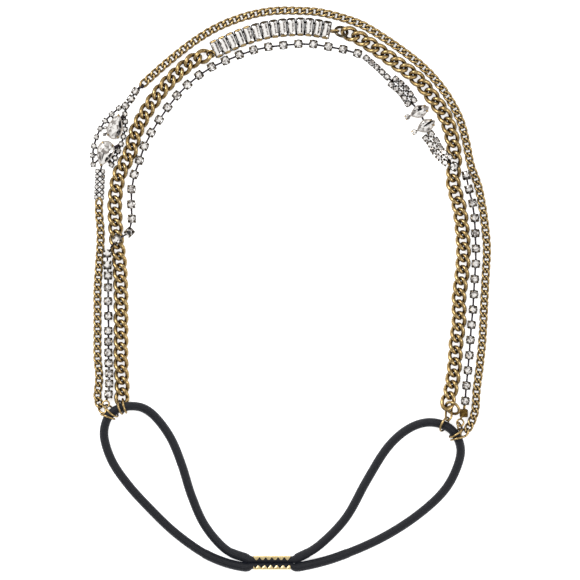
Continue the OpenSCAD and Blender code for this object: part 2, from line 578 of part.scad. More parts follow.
// Bars of the small cups are thin, so that they stay under the stones
thin_bar = 0.16;
module thin_cup_bar(from, to) {
    cup_bar(from, to, 0.6, thin_bar);
}
module cup_line(places, radius) {
    for (q = places) at_place(q) cup(radius);
    for (i = [0 : len(places) - 2]) thin_cup_bar(places[i][0], places[i + 1][0]);
}
module leaf_setting() {
    spine = [flat_spot(upper_pear_place), flat_spot(lower_pear_place)];
    color(dark_silver) {
        pear_seat(upper_pear_place, upper_pear_length, upper_pear_width);
        pear_seat(lower_pear_place, lower_pear_length, lower_pear_width);
        cup_line(leaf_outer_places, halo_stone_radius);
        cup_line(leaf_inner_places, halo_stone_radius);
        cup_line(leaf_top_places, leaf_top_radius);
        for (i = [1 : 3]) thin_cup_bar(leaf_outer_places[i][0], spine[0]);
        for (i = [5 : 7]) thin_cup_bar(leaf_outer_places[i][0], spine[1]);
        for (i = [0 : 3]) thin_cup_bar(leaf_inner_places[i][0], spine[0]);
        for (i = [4 : 7]) thin_cup_bar(leaf_inner_places[i][0], spine[1]);
        for (q = leaf_filler_places) {
            at_place(q) cup(leaf_filler_radius, []);
            cup_bar(q[0], spine[0], 0.4, 0.1, 0);
        }
        thin_cup_bar(leaf_top_places[2][0], leaf_outer_places[0][0]);
        thin_cup_bar(leaf_top_places[2][0], leaf_inner_places[0][0]);
        cup_bar(leaf_joint_spot, leaf_top_places[0][0], 0.9);
        translate(leaf_joint_spot + [-0.8, -0.8, 0]) cube([1.6, 1.6, 1.5]);
        double_row(leaf_tail_places, leaf_tail_gauge, leaf_tail_stone_radius, thin_bar);
        thin_cup_bar(spine[1], leaf_tail_places[0][0]);
    }
}
module leaf_pear(place, length, width) {
    color(crystal) translate(flat_spot(place) + [0, 0, 1.35]) rotate([0, 0, place[2]])
        stone(pear_outline(length, width), 0.55, 0.8, 0.85);
}
module leaf_small_stones() {
    color(crystal) {
        round_stones(leaf_outer_places, halo_stone_radius);
        round_stones(leaf_inner_places, halo_stone_radius);
        round_stones(leaf_filler_places, leaf_filler_radius);
        round_stones(leaf_top_places, leaf_top_radius);
        round_stones(both_sides(leaf_tail_places, leaf_tail_gauge), leaf_tail_stone_radius);
    }
}

// Rings and links that tie the chains' ends to the elastic, put down as ring_at says
end_loop_bore = 1.7;
end_loop_wire = 0.6;
left_loop_spot = [-62.6, -39.3, 2.55];
left_loop_place = concat(left_loop_spot, [0, 80, 6]);
heavy_ring_bore = 3.4;
heavy_ring_straight = 1.6;
left_heavy_ring_1_place = [-56.25, -39.85, 3.15, 100, 8, 118];
left_heavy_ring_2_place = [-57.45, -40.35, 3.12, 62, 47, 108];
wide_ring_bore = 4.8;
left_row_ring_place = [-60.6, -41.5, 3.1, -38, 17, -18];
left_fine_ring_place = [-61.9, -43.6, 2.8, -16, -4, 50];
join_ring_bore = 3.9;
join_ring_wire = 1;
right_join_ring_place = [55.2, -40.6, 3.3, -24, -44, 16];
oval_link_bore = 1.7;
oval_link_wire = 0.8;
oval_link_straight = 2.7;
right_oval_link_place = [53.95, -42.45, 2.05, 87, 49, -30];
right_heavy_ring_place = [52.5, -46.1, 2.75, 66, -24, 8];
end_box_spot = [59.1, -42.4, 0.1];
end_box_side = 2.8;
end_box_height = 2.3;
right_loop_spot = [57.85, -45.6, 2.5];
right_loop_place = concat(right_loop_spot, [0, 84, 1]);
row_link_bore = 1.5;
row_link_straight = 2;
right_row_link_place = [57.7, -47.1, 2.5, 125, -37, 51];
right_row_ring_place = [56.3, -49.1, 2.8, 41, 12, -30];
right_fine_ring_place = [57.05, -50.9, 2.77, 43, 29, -95];
module left_heavy_ring(place) {
    color(brass) ring_at(place) oval_link(heavy_ring_bore, ring_wire, heavy_ring_straight);
}
module left_row_ring() {
    color(brass) ring_at(left_row_ring_place) wire_ring(wide_ring_bore, ring_wire);
}
module left_fine_ring() {
    color(brass) ring_at(left_fine_ring_place) wire_ring(ring_bore, ring_wire);
}
module right_join_ring() {
    color(brass) ring_at(right_join_ring_place) wire_ring(join_ring_bore, join_ring_wire);
}
module right_oval_link() {
    color(brass) ring_at(right_oval_link_place) oval_link(oval_link_bore, oval_link_wire, oval_link_straight);
}
module right_heavy_ring() {
    color(brass) ring_at(right_heavy_ring_place) wire_ring(ring_bore + 0.3, ring_wire);
}
module right_row_link() {
    color(brass) ring_at(right_row_link_place) oval_link(row_link_bore, ring_wire, row_link_straight);
}
module right_row_ring() {
    color(brass) ring_at(right_row_ring_place) wire_ring(ring_bore + 0.1, ring_wire);
}
module right_fine_ring() {
    color(brass) ring_at(right_fine_ring_place) wire_ring(ring_bore, ring_wire);
}

// Elastic: one closed length, pinched where the crimp holds it
crimp_spot = [-6.15, -93.2];
pinched_half_width = 1;
pinched_half_height = 1.3;
bulge_reach = 2.3;
function pinch(x, pinched) =
    lookup(abs(x - crimp_spot[0]) - crimp_length / 2, [[0.25, pinched], [bulge_reach, elastic_diameter / 2]]);
module elastic() {
    line = smooth(elastic_route, 2);
    last = len(line) - 1;
    points = [
        for (i = [0 : last])
            let (along = unit(line[min(i + 1, last)] - line[max(i - 1, 0)]),
                w = pinch(line[i][0], pinched_half_width), h = pinch(line[i][0], pinched_half_height))
                for (j = [0 : tube_sides - 1])
                    let (a = 360 * (j + 0.5) / tube_sides) put([0, w * cos(a), h * sin(a)], line[i], along)
    ];
    color(black) polyhedron(points, tube_faces(last), convexity = 10);
}

// Crimp: floor and side walls, with a toothed edge folded over the strands from each side
crimp_sheet = 0.32;
crimp_height = 3.5;
crimp_pitch = 2.1;
tooth_tip = 0.7;
tooth_base = 1.95;
module crimp_flap(shift) {
    teeth = floor(crimp_length / crimp_pitch);
    run = crimp_length / teeth;
    end = crimp_length / 2;
    root = crimp_width / 2 - crimp_sheet / 2;
    outline = concat([[-end, root], [-end, tooth_base]],
        [for (i = [0 : teeth - 1]) each [[-end + (i + 0.5 + shift) * run, tooth_tip],
            [-end + (i + 1 + shift) * run, tooth_base]]],
        shift < 0 ? [[end, tooth_tip]] : [], [[end, root]]);
    translate([0, 0, crimp_height - crimp_sheet]) linear_extrude(crimp_sheet) polygon(outline);
}
module crimp() {
    color(pale_gold) translate([crimp_spot[0], crimp_spot[1], 0]) {
        difference() {
            translate([-crimp_length / 2, -crimp_width / 2, 0]) cube([crimp_length, crimp_width, crimp_height]);
            translate([-crimp_length, -crimp_width / 2 + crimp_sheet, crimp_sheet])
                cube([2 * crimp_length, crimp_width - 2 * crimp_sheet, crimp_height]);
        }
        crimp_flap(0);
        mirror([0, 1, 0]) crimp_flap(-0.33);
    }
}

heavy_chain_left();
heavy_chain_right();
fine_chain_left();
fine_chain_crown();
crown_row_cups();
crown_row_stones();
left_row_cups();
left_row_stones();
right_row_cups();
right_row_stones();
bar_setting();
leaf_setting();
leaf_small_stones();
marquise_setting();
marquise_small_stones();
bar_jump_ring();
elastic();
crimp();
left_heavy_ring(left_heavy_ring_1_place);  // left_heavy_ring_1
left_heavy_ring(left_heavy_ring_2_place);  // left_heavy_ring_2
left_row_ring();
left_fine_ring();
right_join_ring();
right_oval_link();
right_heavy_ring();
right_row_link();
right_row_ring();
right_fine_ring();
baguette(0);  // baguette_01
baguette(1);  // baguette_02
baguette(2);  // baguette_03
baguette(3);  // baguette_04
baguette(4);  // baguette_05
baguette(5);  // baguette_06
baguette(6);  // baguette_07
baguette(7);  // baguette_08
baguette(8);  // baguette_09
baguette(9);  // baguette_10
baguette(10);  // baguette_11
baguette(11);  // baguette_12
baguette(12);  // baguette_13
baguette(13);  // baguette_14
leaf_pear(upper_pear_place, upper_pear_length, upper_pear_width);  // leaf_upper_pear
leaf_pear(lower_pear_place, lower_pear_length, lower_pear_width);  // leaf_lower_pear
marquise_stone(upper_marquise_place);  // upper_marquise
marquise_stone(lower_marquise_place);  // lower_marquise
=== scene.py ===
"""A chain headband laid flat with its front up, seen from straight above.

Lengths are in millimetres, in the frame of the solid model, and a finished piece is
scaled to metres. Only the elastic's route is in metres.
"""
import math
import random

import bmesh
import bpy
from mathutils import Matrix, Vector


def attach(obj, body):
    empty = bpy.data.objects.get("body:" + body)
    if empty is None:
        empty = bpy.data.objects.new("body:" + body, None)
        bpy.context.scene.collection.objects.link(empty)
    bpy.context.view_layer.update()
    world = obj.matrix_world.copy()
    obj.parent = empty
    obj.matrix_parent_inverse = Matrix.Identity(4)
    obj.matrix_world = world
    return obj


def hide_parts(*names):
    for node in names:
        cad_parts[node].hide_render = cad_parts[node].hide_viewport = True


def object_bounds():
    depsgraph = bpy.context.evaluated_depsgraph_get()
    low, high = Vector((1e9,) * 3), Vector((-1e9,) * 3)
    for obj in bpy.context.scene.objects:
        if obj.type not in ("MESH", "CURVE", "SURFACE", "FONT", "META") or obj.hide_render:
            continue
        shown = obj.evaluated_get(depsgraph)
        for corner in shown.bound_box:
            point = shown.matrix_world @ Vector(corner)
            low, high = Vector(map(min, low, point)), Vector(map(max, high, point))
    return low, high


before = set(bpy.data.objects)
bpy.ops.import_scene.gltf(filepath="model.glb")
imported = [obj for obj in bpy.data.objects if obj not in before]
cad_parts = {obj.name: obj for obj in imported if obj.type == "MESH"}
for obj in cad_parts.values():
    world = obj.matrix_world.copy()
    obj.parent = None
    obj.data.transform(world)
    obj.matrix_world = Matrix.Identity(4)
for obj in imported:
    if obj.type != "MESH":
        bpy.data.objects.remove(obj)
cad_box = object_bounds()
MM = 0.001
UP = Vector((0, 0, 1))
MERGE = 1e-4


# Lines over the table

def bend(a, b, c, d, t):
    return 0.5 * (2 * b + (c - a) * t + (2 * a - 5 * b + 4 * c - d) * t ** 2
                  + (3 * b - a - 3 * c + d) * t ** 3)


class Line:
    """A smooth line through a route's points, measured along its length."""

    def __init__(self, route, steps=6):
        route = [Vector(p) for p in route]
        last = len(route) - 1
        self.points = [
            bend(route[max(i - 1, 0)], route[i], route[i + 1], route[min(i + 2, last)], k / steps)
            for i in range(last) for k in range(steps)
        ] + [route[last]]
        self.run = [0.0]
        for a, b in zip(self.points, self.points[1:]):
            self.run.append(self.run[-1] + (b - a).length)
        self.length = self.run[-1]

    def spot(self, s):
        s = min(max(s, 0), self.length)
        for i in range(1, len(self.run)):
            if s <= self.run[i]:
                share = (s - self.run[i - 1]) / max(self.run[i] - self.run[i - 1], 1e-9)
                return self.points[i - 1].lerp(self.points[i], share)
        return self.points[-1].copy()

    def heading(self, s, reach):
        return (self.spot(s + reach) - self.spot(s - reach)).normalized()

    def place(self, s, reach=1.5):
        return self.spot(s), self.heading(s, reach)

    def places(self, count, reach=1.5):
        return [self.place(self.length * i / (count - 1), reach) for i in range(count)]


def standing(at, along, roll=0):
    """Puts a form down at a spot, with its X along the heading and its Z as near up as it goes."""
    side = UP.cross(along).normalized()
    up = along.cross(side)
    turned = Matrix((along, side, up)).transposed().to_4x4()
    return Matrix.Translation(at) @ turned @ Matrix.Rotation(math.radians(roll), 4, "X")


def turned(degrees, axis="Z"):
    return Matrix.Rotation(math.radians(degrees), 4, axis)


def ring_place(x, y, z, turn, lean, rise):
    """A standing ring leaned over its long side, that side raised, then the whole turned."""
    return (Matrix.Translation((x, y, z)) @ turned(turn) @ turned(-rise, "Y")
            @ turned(lean, "X") @ turned(90, "X"))


def between(start, end, lift=0.0):
    """Puts a form that runs from 0 to 1 along X between two spots."""
    start, end = Vector(start), Vector(end)
    way = end - start
    return (standing(start + Vector((0, 0, lift)), way.normalized())
            @ Matrix.Diagonal((way.length, 1, 1, 1)))


# Forms, each made once and copied

def form(bm, smooth=True):
    bmesh.ops.recalc_face_normals(bm, faces=bm.faces)
    for face in bm.faces:
        face.smooth = smooth
    mesh = bpy.data.meshes.new("form")
    bm.to_mesh(mesh)
    bm.free()
    return mesh


def soften(bm, width, segments=1, least=30):
    """Bevels every edge that turns by more than the least angle."""
    edges = [e for e in bm.edges
             if len(e.link_faces) == 2 and e.calc_face_angle() > math.radians(least)]
    bmesh.ops.bevel(bm, geom=edges, offset=width, segments=segments, profile=0.5,
                    affect="EDGES", material=-1, clamp_overlap=True)


def lofted(rings):
    """Extrudes a face through rings of points, from the first to the last."""
    bm = bmesh.new()
    face = bm.faces.new([bm.verts.new(p) for p in rings[0]])
    for ring in rings[1:]:
        made = bmesh.ops.extrude_face_region(bm, geom=[face], use_keep_orig=ring is rings[1])
        face = [g for g in made["geom"] if isinstance(g, bmesh.types.BMFace)][0]
        for vert, point in zip(face.verts, ring):
            vert.co = point
    return bm


def level(outline, z, share=1.0):
    return [Vector((p[0] * share, p[1] * share, z)) for p in outline]


def prism(outline, width, edge=0.0):
    """A plate in the XZ plane, with its thickness along Y and its edges softened."""
    bm = lofted([[Vector((x, y, z)) for x, z in outline] for y in (-width / 2, width / 2)])
    if edge:
        soften(bm, edge)
    return bm


def round_wire(bore, wire, straight=0.0, steps=40, sides=12):
    """A ring of round wire in the XY plane, its halves moved apart by the straight length."""
    bm = bmesh.new()
    upright = Matrix.Translation(((bore + wire) / 2, 0, 0)) @ turned(90, "X")
    made = bmesh.ops.create_circle(bm, segments=sides, radius=wire / 2)
    bmesh.ops.transform(bm, matrix=upright, verts=made["verts"])
    bmesh.ops.rotate(bm, matrix=turned(180 / steps).to_3x3(), verts=bm.verts)
    bmesh.ops.spin(bm, geom=bm.edges[:], cent=(0, 0, 0), axis=(0, 0, 1), dvec=(0, 0, 0),
                   angle=math.tau, steps=steps, use_merge=True)
    bmesh.ops.remove_doubles(bm, verts=bm.verts, dist=MERGE)
    for vert in bm.verts:
        vert.co.x += math.copysign(straight / 2, vert.co.x)
    return bm


def curb_link(half_length, half_width, twist, wire, steps, sides, flat_end=False):
    """A wire ring reshaped to an oval whose ends are twisted opposite ways."""
    reach, ahead = 2 * wire, 0.02
    bm = round_wire(2 * reach - wire, wire, 0, steps, sides)

    def turn(u):
        return math.radians(twist) * (min(math.cos(u), 0) if flat_end else math.cos(u))

    def centre(u):
        return Vector((half_length * math.cos(u), half_width * math.sin(u) * math.cos(turn(u)),
                       half_width * math.sin(u) * math.sin(turn(u))))

    for vert in bm.verts:
        u = math.atan2(vert.co.y, vert.co.x)
        off = math.hypot(vert.co.x, vert.co.y) - reach
        along = (centre(u + ahead) - centre(u - ahead)).normalized()
        away = Vector((math.cos(u) / half_length, math.sin(u) * math.cos(turn(u)) / half_width,
                       math.sin(u) * math.sin(turn(u)) / half_width))
        out = (away - away.dot(along) * along).normalized()
        vert.co = centre(u) + out * off + along.cross(out) * vert.co.z
    return bm


# Outlines of the cut stones, each a spot at an angle round the stone

PEAR_FULLNESS, PEAR_TAPER = 0.62, 0.75


def round_outline(radius):
    return lambda a: (radius * math.cos(a), radius * math.sin(a))


def pear_outline(length, width):
    return lambda a: (length / 2 * math.cos(a),
                      PEAR_FULLNESS * width * math.sin(a) * abs(math.sin(a / 2)) ** PEAR_TAPER)


def marquise_outline(length, width):
    return lambda a: (length / 2 * math.cos(a), width / 2 * math.sin(a) * abs(math.sin(a)))


def drawn(outline, count, start=0.0):
    return [outline(math.tau * (k + start) / count) for k in range(count)]


def cut_table(bm, height, at, across):
    """Parts the facets at the table's height along the line through a spot, square to across."""
    top = [f for f in bm.faces if f.calc_center_median().z > 0.95 * height]
    parts = dict.fromkeys(part for f in top for part in (f, *f.edges, *f.verts))
    bmesh.ops.bisect_plane(bm, geom=list(parts), dist=1e-5, plane_co=at, plane_no=across)


def cut_stone(outline, facets, table, crown, depth, girdle=0.06, cuts=()):
    """Table, stars, kites and girdle facets above, two tiers of pavilion facets below.

    The cuts are lines across the table, as (x, y, x, y), that part it into the facets
    seen through it. Each ring of points is (share of the outline, height, count, start).
    """
    bm = bmesh.new()
    for share, height, count, start in (
            (table, crown, facets, 0), (0.5 * (1 + table) * 1.02, 0.54 * crown, facets, 0.5),
            (1, girdle, 2 * facets, 0), (1, -girdle, 2 * facets, 0),
            (0.56, -0.5 * depth, facets, 0.5), (0.08, -depth, facets, 0)):
        for x, y in drawn(outline, count, start):
            bm.verts.new((share * x, share * y, height))
    hull = bmesh.ops.convex_hull(bm, input=bm.verts)
    inside = [g for g in hull["geom_interior"] if isinstance(g, bmesh.types.BMVert)]
    bmesh.ops.delete(bm, geom=inside, context="VERTS")
    bmesh.ops.dissolve_limit(bm, angle_limit=math.radians(3), verts=bm.verts, edges=bm.edges)
    for ax, ay, bx, by in cuts:
        cut_table(bm, crown, (ax, ay, 0), (by - ay, ax - bx, 0))
    return form(bm, smooth=False)


STEP_TABLE = 0.45
# Extruding leaves the facets in no set order, so they are sorted along this direction
FACET_ORDER = Vector((1, 8.3, 60))


def step_stone(length, width, cuts):
    """A baguette with a table, two steps above the girdle and two below it.

    The cuts are lines along the table, each at its place across the width.
    """
    rings = []
    for long, wide, corner, height in (
            (length - 2.6, 0.12, 0.03, -0.72), (length - 1.2, width - 0.9, 0.1, -0.42),
            (length, width, 0.18, -0.05), (length, width, 0.18, 0.05),
            (length - 0.36, width - 0.36, 0.3, 0.27),
            (length - 1.1, width - 0.9, 0.42, STEP_TABLE)):
        x, y, c = long / 2, wide / 2, corner
        rings.append(level([(x, c - y), (x, y - c), (x - c, y), (c - x, y),
                            (-x, y - c), (-x, c - y), (c - x, -y), (x - c, -y)], height))
    bm = lofted(rings)
    for y in cuts:
        cut_table(bm, STEP_TABLE, (0, y, 0), (0, 1, 0))
    bm.faces.sort(key=lambda face: FACET_ORDER.dot(face.calc_center_median()))
    return form(bm, smooth=False)


# A round cup and its claws, for a stone of radius 1
CUP_FLOOR, CUP_WALL, CUP_BORE, CUP_OUTSIDE = 0.36, 1.2, 1.06, 1.17
CUP_FOOT, CUP_HEEL, CUP_HEEL_LEVEL, CUP_SIDES = 0.8, 1.06, 0.16, 24
GIRDLE_HEIGHT = 1.12
CLAW = [(1.07, 0.1), (1.36, 0.1), (1.37, 1.3), (1.24, 1.58),
        (1.08, 1.7), (0.86, 1.7), (0.88, 1.56), (1.07, 1.4)]
CLAW_WIDTH, CLAW_EDGE = 0.56, 0.1
CLAW_TURNS = (45, 135, 225, 315)


def put(bm, mesh, at):
    """Adds a form at its place to a mesh in the making, and gives its faces."""
    first, first_face = len(bm.verts), len(bm.faces)
    bm.from_mesh(mesh)
    bm.verts.ensure_lookup_table()
    bm.faces.ensure_lookup_table()
    bmesh.ops.transform(bm, matrix=at, verts=bm.verts[first:])
    return bm.faces[first_face:]


def joined(*parts):
    """One form from several, each with its place."""
    bm = bmesh.new()
    for mesh, at in parts:
        put(bm, mesh, at)
    mesh = bpy.data.meshes.new("form")
    bm.to_mesh(mesh)
    bm.free()
    return mesh


def cup(radius):
    """A round cup, open above."""
    circle = drawn(round_outline(1), CUP_SIDES)
    bowl = lofted([level(circle, 0, CUP_FOOT), level(circle, CUP_HEEL_LEVEL, CUP_HEEL),
                   level(circle, CUP_WALL, CUP_OUTSIDE), level(circle, CUP_WALL, CUP_BORE),
                   level(circle, CUP_FLOOR, CUP_BORE)])
    return joined((form(bowl), Matrix.Scale(radius, 4)))


def cup_claws(radius, turns):
    """The claws of a round cup, bent in over its stone."""
    claw = form(prism(CLAW, CLAW_WIDTH, CLAW_EDGE))
    return joined(*((claw, turned(a) @ Matrix.Scale(radius, 4)) for a in turns))


def block(x, y, z, edge):
    """A block with softened edges, its middle at the origin."""
    bm = bmesh.new()
    bmesh.ops.create_cube(bm, size=1)
    bmesh.ops.scale(bm, vec=(x, y, z), verts=bm.verts)
    soften(bm, edge)
    return form(bm)


def strut(width, height):
    """A flat bar from 0 to 1 along X, standing on its underside."""
    bm = bmesh.new()
    bmesh.ops.create_cube(bm, size=1)
    stood = Matrix.Diagonal((1, width, height, 1)) @ Matrix.Translation((0.5, 0, 0.5))
    bmesh.ops.transform(bm, matrix=stood, verts=bm.verts)
    edges = [e for e in bm.edges if abs(e.verts[0].co.x - e.verts[1].co.x) > 0.5]
    bmesh.ops.bevel(bm, geom=edges, offset=0.25 * min(width, height), segments=2, profile=0.5,
                    affect="EDGES", material=-1)
    return form(bm)


def stone_seat(outline, inner, height, floor, count=48):
    """A walled seat that follows a large stone's outline, with a rounded rim."""
    wall, bore = drawn(outline, count), drawn(inner, count)
    rim = [((a[0] + b[0]) / 2, (a[1] + b[1]) / 2) for a, b in zip(wall, bore)]
    return form(lofted([level(wall, 0), level(wall, height - SEAT_EDGE), level(rim, height),
                        level(bore, height - SEAT_EDGE), level(bore, floor)]))


# Materials

class Value:
    """A socket that takes part in arithmetic."""

    def __init__(self, finish, socket):
        self.finish, self.socket = finish, socket

    def math(self, operation, a, b):
        return self.finish.add("ShaderNodeMath", {"operation": operation}, {0: a, 1: b})

    def __add__(self, other):
        return self.math("ADD", self, other)

    def __mul__(self, other):
        return self.math("MULTIPLY", self, other)

    def __sub__(self, other):
        return self.math("SUBTRACT", self, other)

    def __rsub__(self, other):
        return self.math("SUBTRACT", other, self)

    __radd__, __rmul__ = __add__, __mul__


class Finish:
    """A material, its Principled shader and the nodes that feed it."""

    def __init__(self, name, slot, **constants):
        self.slot = slot
        self.material = bpy.data.materials.new(name)
        self.material.use_nodes = True
        self.tree = self.material.node_tree
        self.shader = self.tree.nodes["Principled BSDF"]
        for socket, value in constants.items():
            self.shader.inputs[socket.replace("_", " ")].default_value = value

    def add(self, kind, settings=None, inputs=None, out=0):
        """One node: its settings first, then values or links for its sockets."""
        node = self.tree.nodes.new(kind)
        for key, value in (settings or {}).items():
            setattr(node, key, value)
        for key, value in (inputs or {}).items():
            if isinstance(value, Value):
                self.tree.links.new(value.socket, node.inputs[key])
            else:
                node.inputs[key].default_value = value
        return Value(self, node.outputs[out])

    def where(self):
        return self.add("ShaderNodeTexCoord", out="Object")

    def noise(self, size_mm, detail):
        return self.add("ShaderNodeTexNoise", None,
                        {"Vector": self.where(), "Scale": 1 / (size_mm * MM), "Detail": detail})

    def ramp(self, value, low, high, start=0.0, end=1.0):
        return self.add("ShaderNodeMapRange", {"clamp": True, "interpolation_type": "SMOOTHSTEP"},
                        {"Value": value, "From Min": low, "From Max": high,
                         "To Min": start, "To Max": end})

    def mix(self, share, a, b):
        return self.add("ShaderNodeMix", {"data_type": "RGBA"}, {0: share, 6: a, 7: b}, out=2)

    def openness(self, reach_mm):
        return self.add("ShaderNodeAmbientOcclusion", {"samples": 8},
                        {"Distance": reach_mm * MM}, out="AO")

    def feed(self, **sockets):
        for socket, value in sockets.items():
            self.tree.links.new(value.socket, self.shader.inputs[socket.replace("_", " ")])
        return self

    def bump(self, height, strength, depth_mm):
        return self.add("ShaderNodeBump", None,
                        {"Height": height, "Strength": strength, "Distance": depth_mm * MM})


# Sizes of the wear, of the recesses that get patina and painted shade, and of the grain on plated metal,
# in millimetres
BLOTCH, RECESS, CAST_GRAIN, SCRATCH, SCRATCH_DEPTH = 1.6, 0.9, 0.5, 0.12, 0.02


def antiqued(name, slot, bright, mid, dark, low=0.35, high=0.8, rough=(0.5, 0.3), edge=0.0):
    """Plated metal, bright where it stands proud and dark in its recesses, partly as rubbed patina and
    partly as painted shade, and darker down its steep sides in a painted dark reflection.

    It turns from dark to bright between the low and the high openness, and edge says how
    much the painted dark reflection darkens its steep sides.
    """
    f = Finish(name, slot, Metallic=1.0, Specular_IOR_Level=0.5)
    blotch = f.noise(BLOTCH, 3)
    facing = f.add("ShaderNodeLayerWeight", None, {"Blend": 0.5}, out="Facing")
    # Painted dark reflection: sides that turn away from the camera darken, as if they mirrored dark
    # surroundings
    steep = f.ramp(facing, 0.3, 0.85)
    # Open surfaces stay bright and recesses darken by occlusion, partly as patina and partly as painted
    # shade
    wear_and_painted_shade = f.ramp(f.openness(RECESS) + (blotch - 0.5) * 0.35 - steep * edge, low, high)
    cast = f.mix(f.ramp(f.noise(CAST_GRAIN, 4), 0.3, 0.7), mid, bright)
    scratch = f.noise(SCRATCH, 3)
    return f.feed(Base_Color=f.mix(wear_and_painted_shade, dark, cast),
                  Roughness=f.ramp(wear_and_painted_shade, 0, 1, *rough) + (scratch - 0.5) * 0.15,
                  Normal=f.bump(scratch, 0.25, SCRATCH_DEPTH))


def rgb(*colour):
    """A shader colour from red, green and blue of 0 to 255 as the eye sees them."""
    return tuple(((c / 255 + 0.055) / 1.055) ** 2.4 if c > 10 else c / 3294 for c in colour) + (1,)


# Every metal below gets painted shade in its recesses, and brass also gets a painted dark reflection
# down its steep sides
brass = antiqued("antique_brass", "antique_brass",
                 rgb(204, 178, 126), rgb(146, 118, 72), rgb(58, 40, 20), 0.35, 1.0, edge=0.6)
silver = antiqued("dark_silver", "dark_silver",
                  rgb(222, 215, 208), rgb(186, 177, 168), rgb(84, 74, 64), 0.2, 0.7)
claw_metal = antiqued("claw_metal", "dark_silver",
                      rgb(84, 74, 56), rgb(52, 45, 34), rgb(22, 18, 14), 0.3, 0.9)
blackened = antiqued("blackened_bars", "dark_silver",
                     rgb(70, 63, 66), rgb(38, 34, 38), rgb(16, 14, 16))
dark_brass = antiqued("dark_brass", "antique_brass",
                      rgb(150, 120, 62), rgb(82, 58, 26), rgb(34, 22, 10), 0.6, 1.1)
gunmetal = antiqued("gunmetal_ring", "dark_silver",
                    rgb(110, 100, 80), rgb(66, 58, 46), rgb(24, 20, 18))
gold = antiqued("pale_gold", "pale_gold",
                rgb(246, 228, 178), rgb(226, 198, 136), rgb(130, 92, 46), 0.15, 0.7, (0.45, 0.34))


def crystal_finish(name, glint_mm, spread, dull_shade=False):
    """Foil-backed crystal with painted reflections: each facet is painted with its own share of the
    light, broken up by painted glints, and glows faintly in that colour.

    Spark runs from 0, in painted shade, to 1, in painted full light. The spread is how far the glints
    move it. With dull_shade the facets in painted shade lose their gloss.
    """
    f = Finish(name, "crystal", Roughness=0.06, IOR=1.56, Coat_Weight=1.0, Coat_Roughness=0.02,
               Metallic=0.5, Emission_Strength=0.15)
    # Each facet's painted share of light, set per face when the pieces are joined
    facet = f.add("ShaderNodeAttribute", {"attribute_name": "spark"}, out="Fac")
    # Painted glints: cells of random brightness fixed to the stone
    glints = f.add("ShaderNodeTexVoronoi", None,
                   {"Vector": f.where(), "Scale": 1 / (glint_mm * MM)}, out="Color")
    spark = facet + (glints - 0.5) * spread
    grey = f.mix(f.ramp(spark, 0.0, 0.4), rgb(20, 18, 20), rgb(134, 127, 122))
    painted_facet_light = f.mix(f.ramp(spark, 0.4, 0.85), grey, rgb(246, 243, 239))
    if dull_shade:
        f.feed(Coat_Weight=f.ramp(spark, -0.1, 0.2))
    # The painted light is both the base colour and a faint glow, though the stone is no lamp
    return f.feed(Base_Color=painted_facet_light, Emission_Color=painted_facet_light)


STRANDS_ROUND, STRAND_TURNS = 10, 1.1
FLECK, BRAID_DEPTH = 0.35, 0.08


def elastic_finish():
    """Black elastic with a fine braided cover that follows the cord.

    The cover has a number of strands round the cord, and their turns are for a millimetre.
    """
    f = Finish("black_elastic", "black_elastic", Roughness=0.55, Specular_IOR_Level=0.3,
               Sheen_Weight=0.12, Sheen_Roughness=0.4, Sheen_Tint=rgb(150, 165, 200))
    at = f.add("ShaderNodeUVMap", {"uv_map": "UVMap"})
    round_about = f.add("ShaderNodeSeparateXYZ", None, {0: at}, out="Y")
    down = f.add("ShaderNodeSeparateXYZ", None, {0: at}, out="X")

    def strands(way):
        phase = (round_about * (math.tau * STRANDS_ROUND)
                 + down * (way * math.tau * STRAND_TURNS))
        return f.add("ShaderNodeMath", {"operation": "SINE"}, {0: phase})

    braid = strands(1) * strands(-1)
    shade = f.mix(f.ramp(braid + f.noise(FLECK, 2), 0.0, 1.4), rgb(5, 6, 10), rgb(22, 25, 36))
    return f.feed(Base_Color=shade, Normal=f.bump(braid, 0.6, BRAID_DEPTH))


# Both crystals carry painted reflections, painted glints and a faint glow
crystal = crystal_finish("crystal", 0.55, 1.1)
large_crystal = crystal_finish("large_crystal", 1.1, 0.8, dull_shade=True)
elastic_cover = elastic_finish()


# Finished pieces

def finished(name, mesh, nodes, slot):
    piece = bpy.data.objects.new(name, mesh)
    bpy.context.scene.collection.objects.link(piece)
    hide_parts(*nodes)
    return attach(piece, "root")


# A normal steeper than this belongs to a stone's table
FLAT = 0.97


def facet_spark(rng, face):
    """A facet's spark, its painted light: the table is painted pale, and a few of the sloping facets are
    painted near black, as shade.
    """
    if face.normal.z > FLAT:
        return rng.uniform(0.55, 0.85)
    return rng.choice((0.05, 0.25, 0.4, 0.55, 0.65, 0.75, 0.9, 1.1))


def gathered(name, parts, nodes, crease=40, spark=None):
    """Joins forms, each with its place and finish, as one piece, with a spark for each facet."""
    bm = bmesh.new()
    finishes = []
    for mesh, at, finish in parts:
        if finish not in finishes:
            finishes.append(finish)
        for face in put(bm, mesh, at):
            face.material_index = finishes.index(finish)
    if spark:
        bm.normal_update()
        layer = bm.faces.layers.float.new("spark")
        rng = random.Random(name)
        for face in bm.faces:
            face[layer] = spark(rng, face)
    bmesh.ops.scale(bm, vec=(MM, MM, MM), verts=bm.verts)
    mesh = bpy.data.meshes.new(name)
    bm.to_mesh(mesh)
    bm.free()
    for finish in finishes:
        mesh.materials.append(finish.material)
    if not spark:
        mesh.set_sharp_from_angle(angle=math.radians(crease))
    return finished(name, mesh, nodes, finishes[0].slot)


# Camera, with the picture's middle a little below the origin

PICTURE = 580
PICTURE_SCALE = 0.34
PICTURE_DROP = 1.5
CAMERA_HEIGHT = 1.4
STONE_LEVEL = 0.002
SENSOR = 36

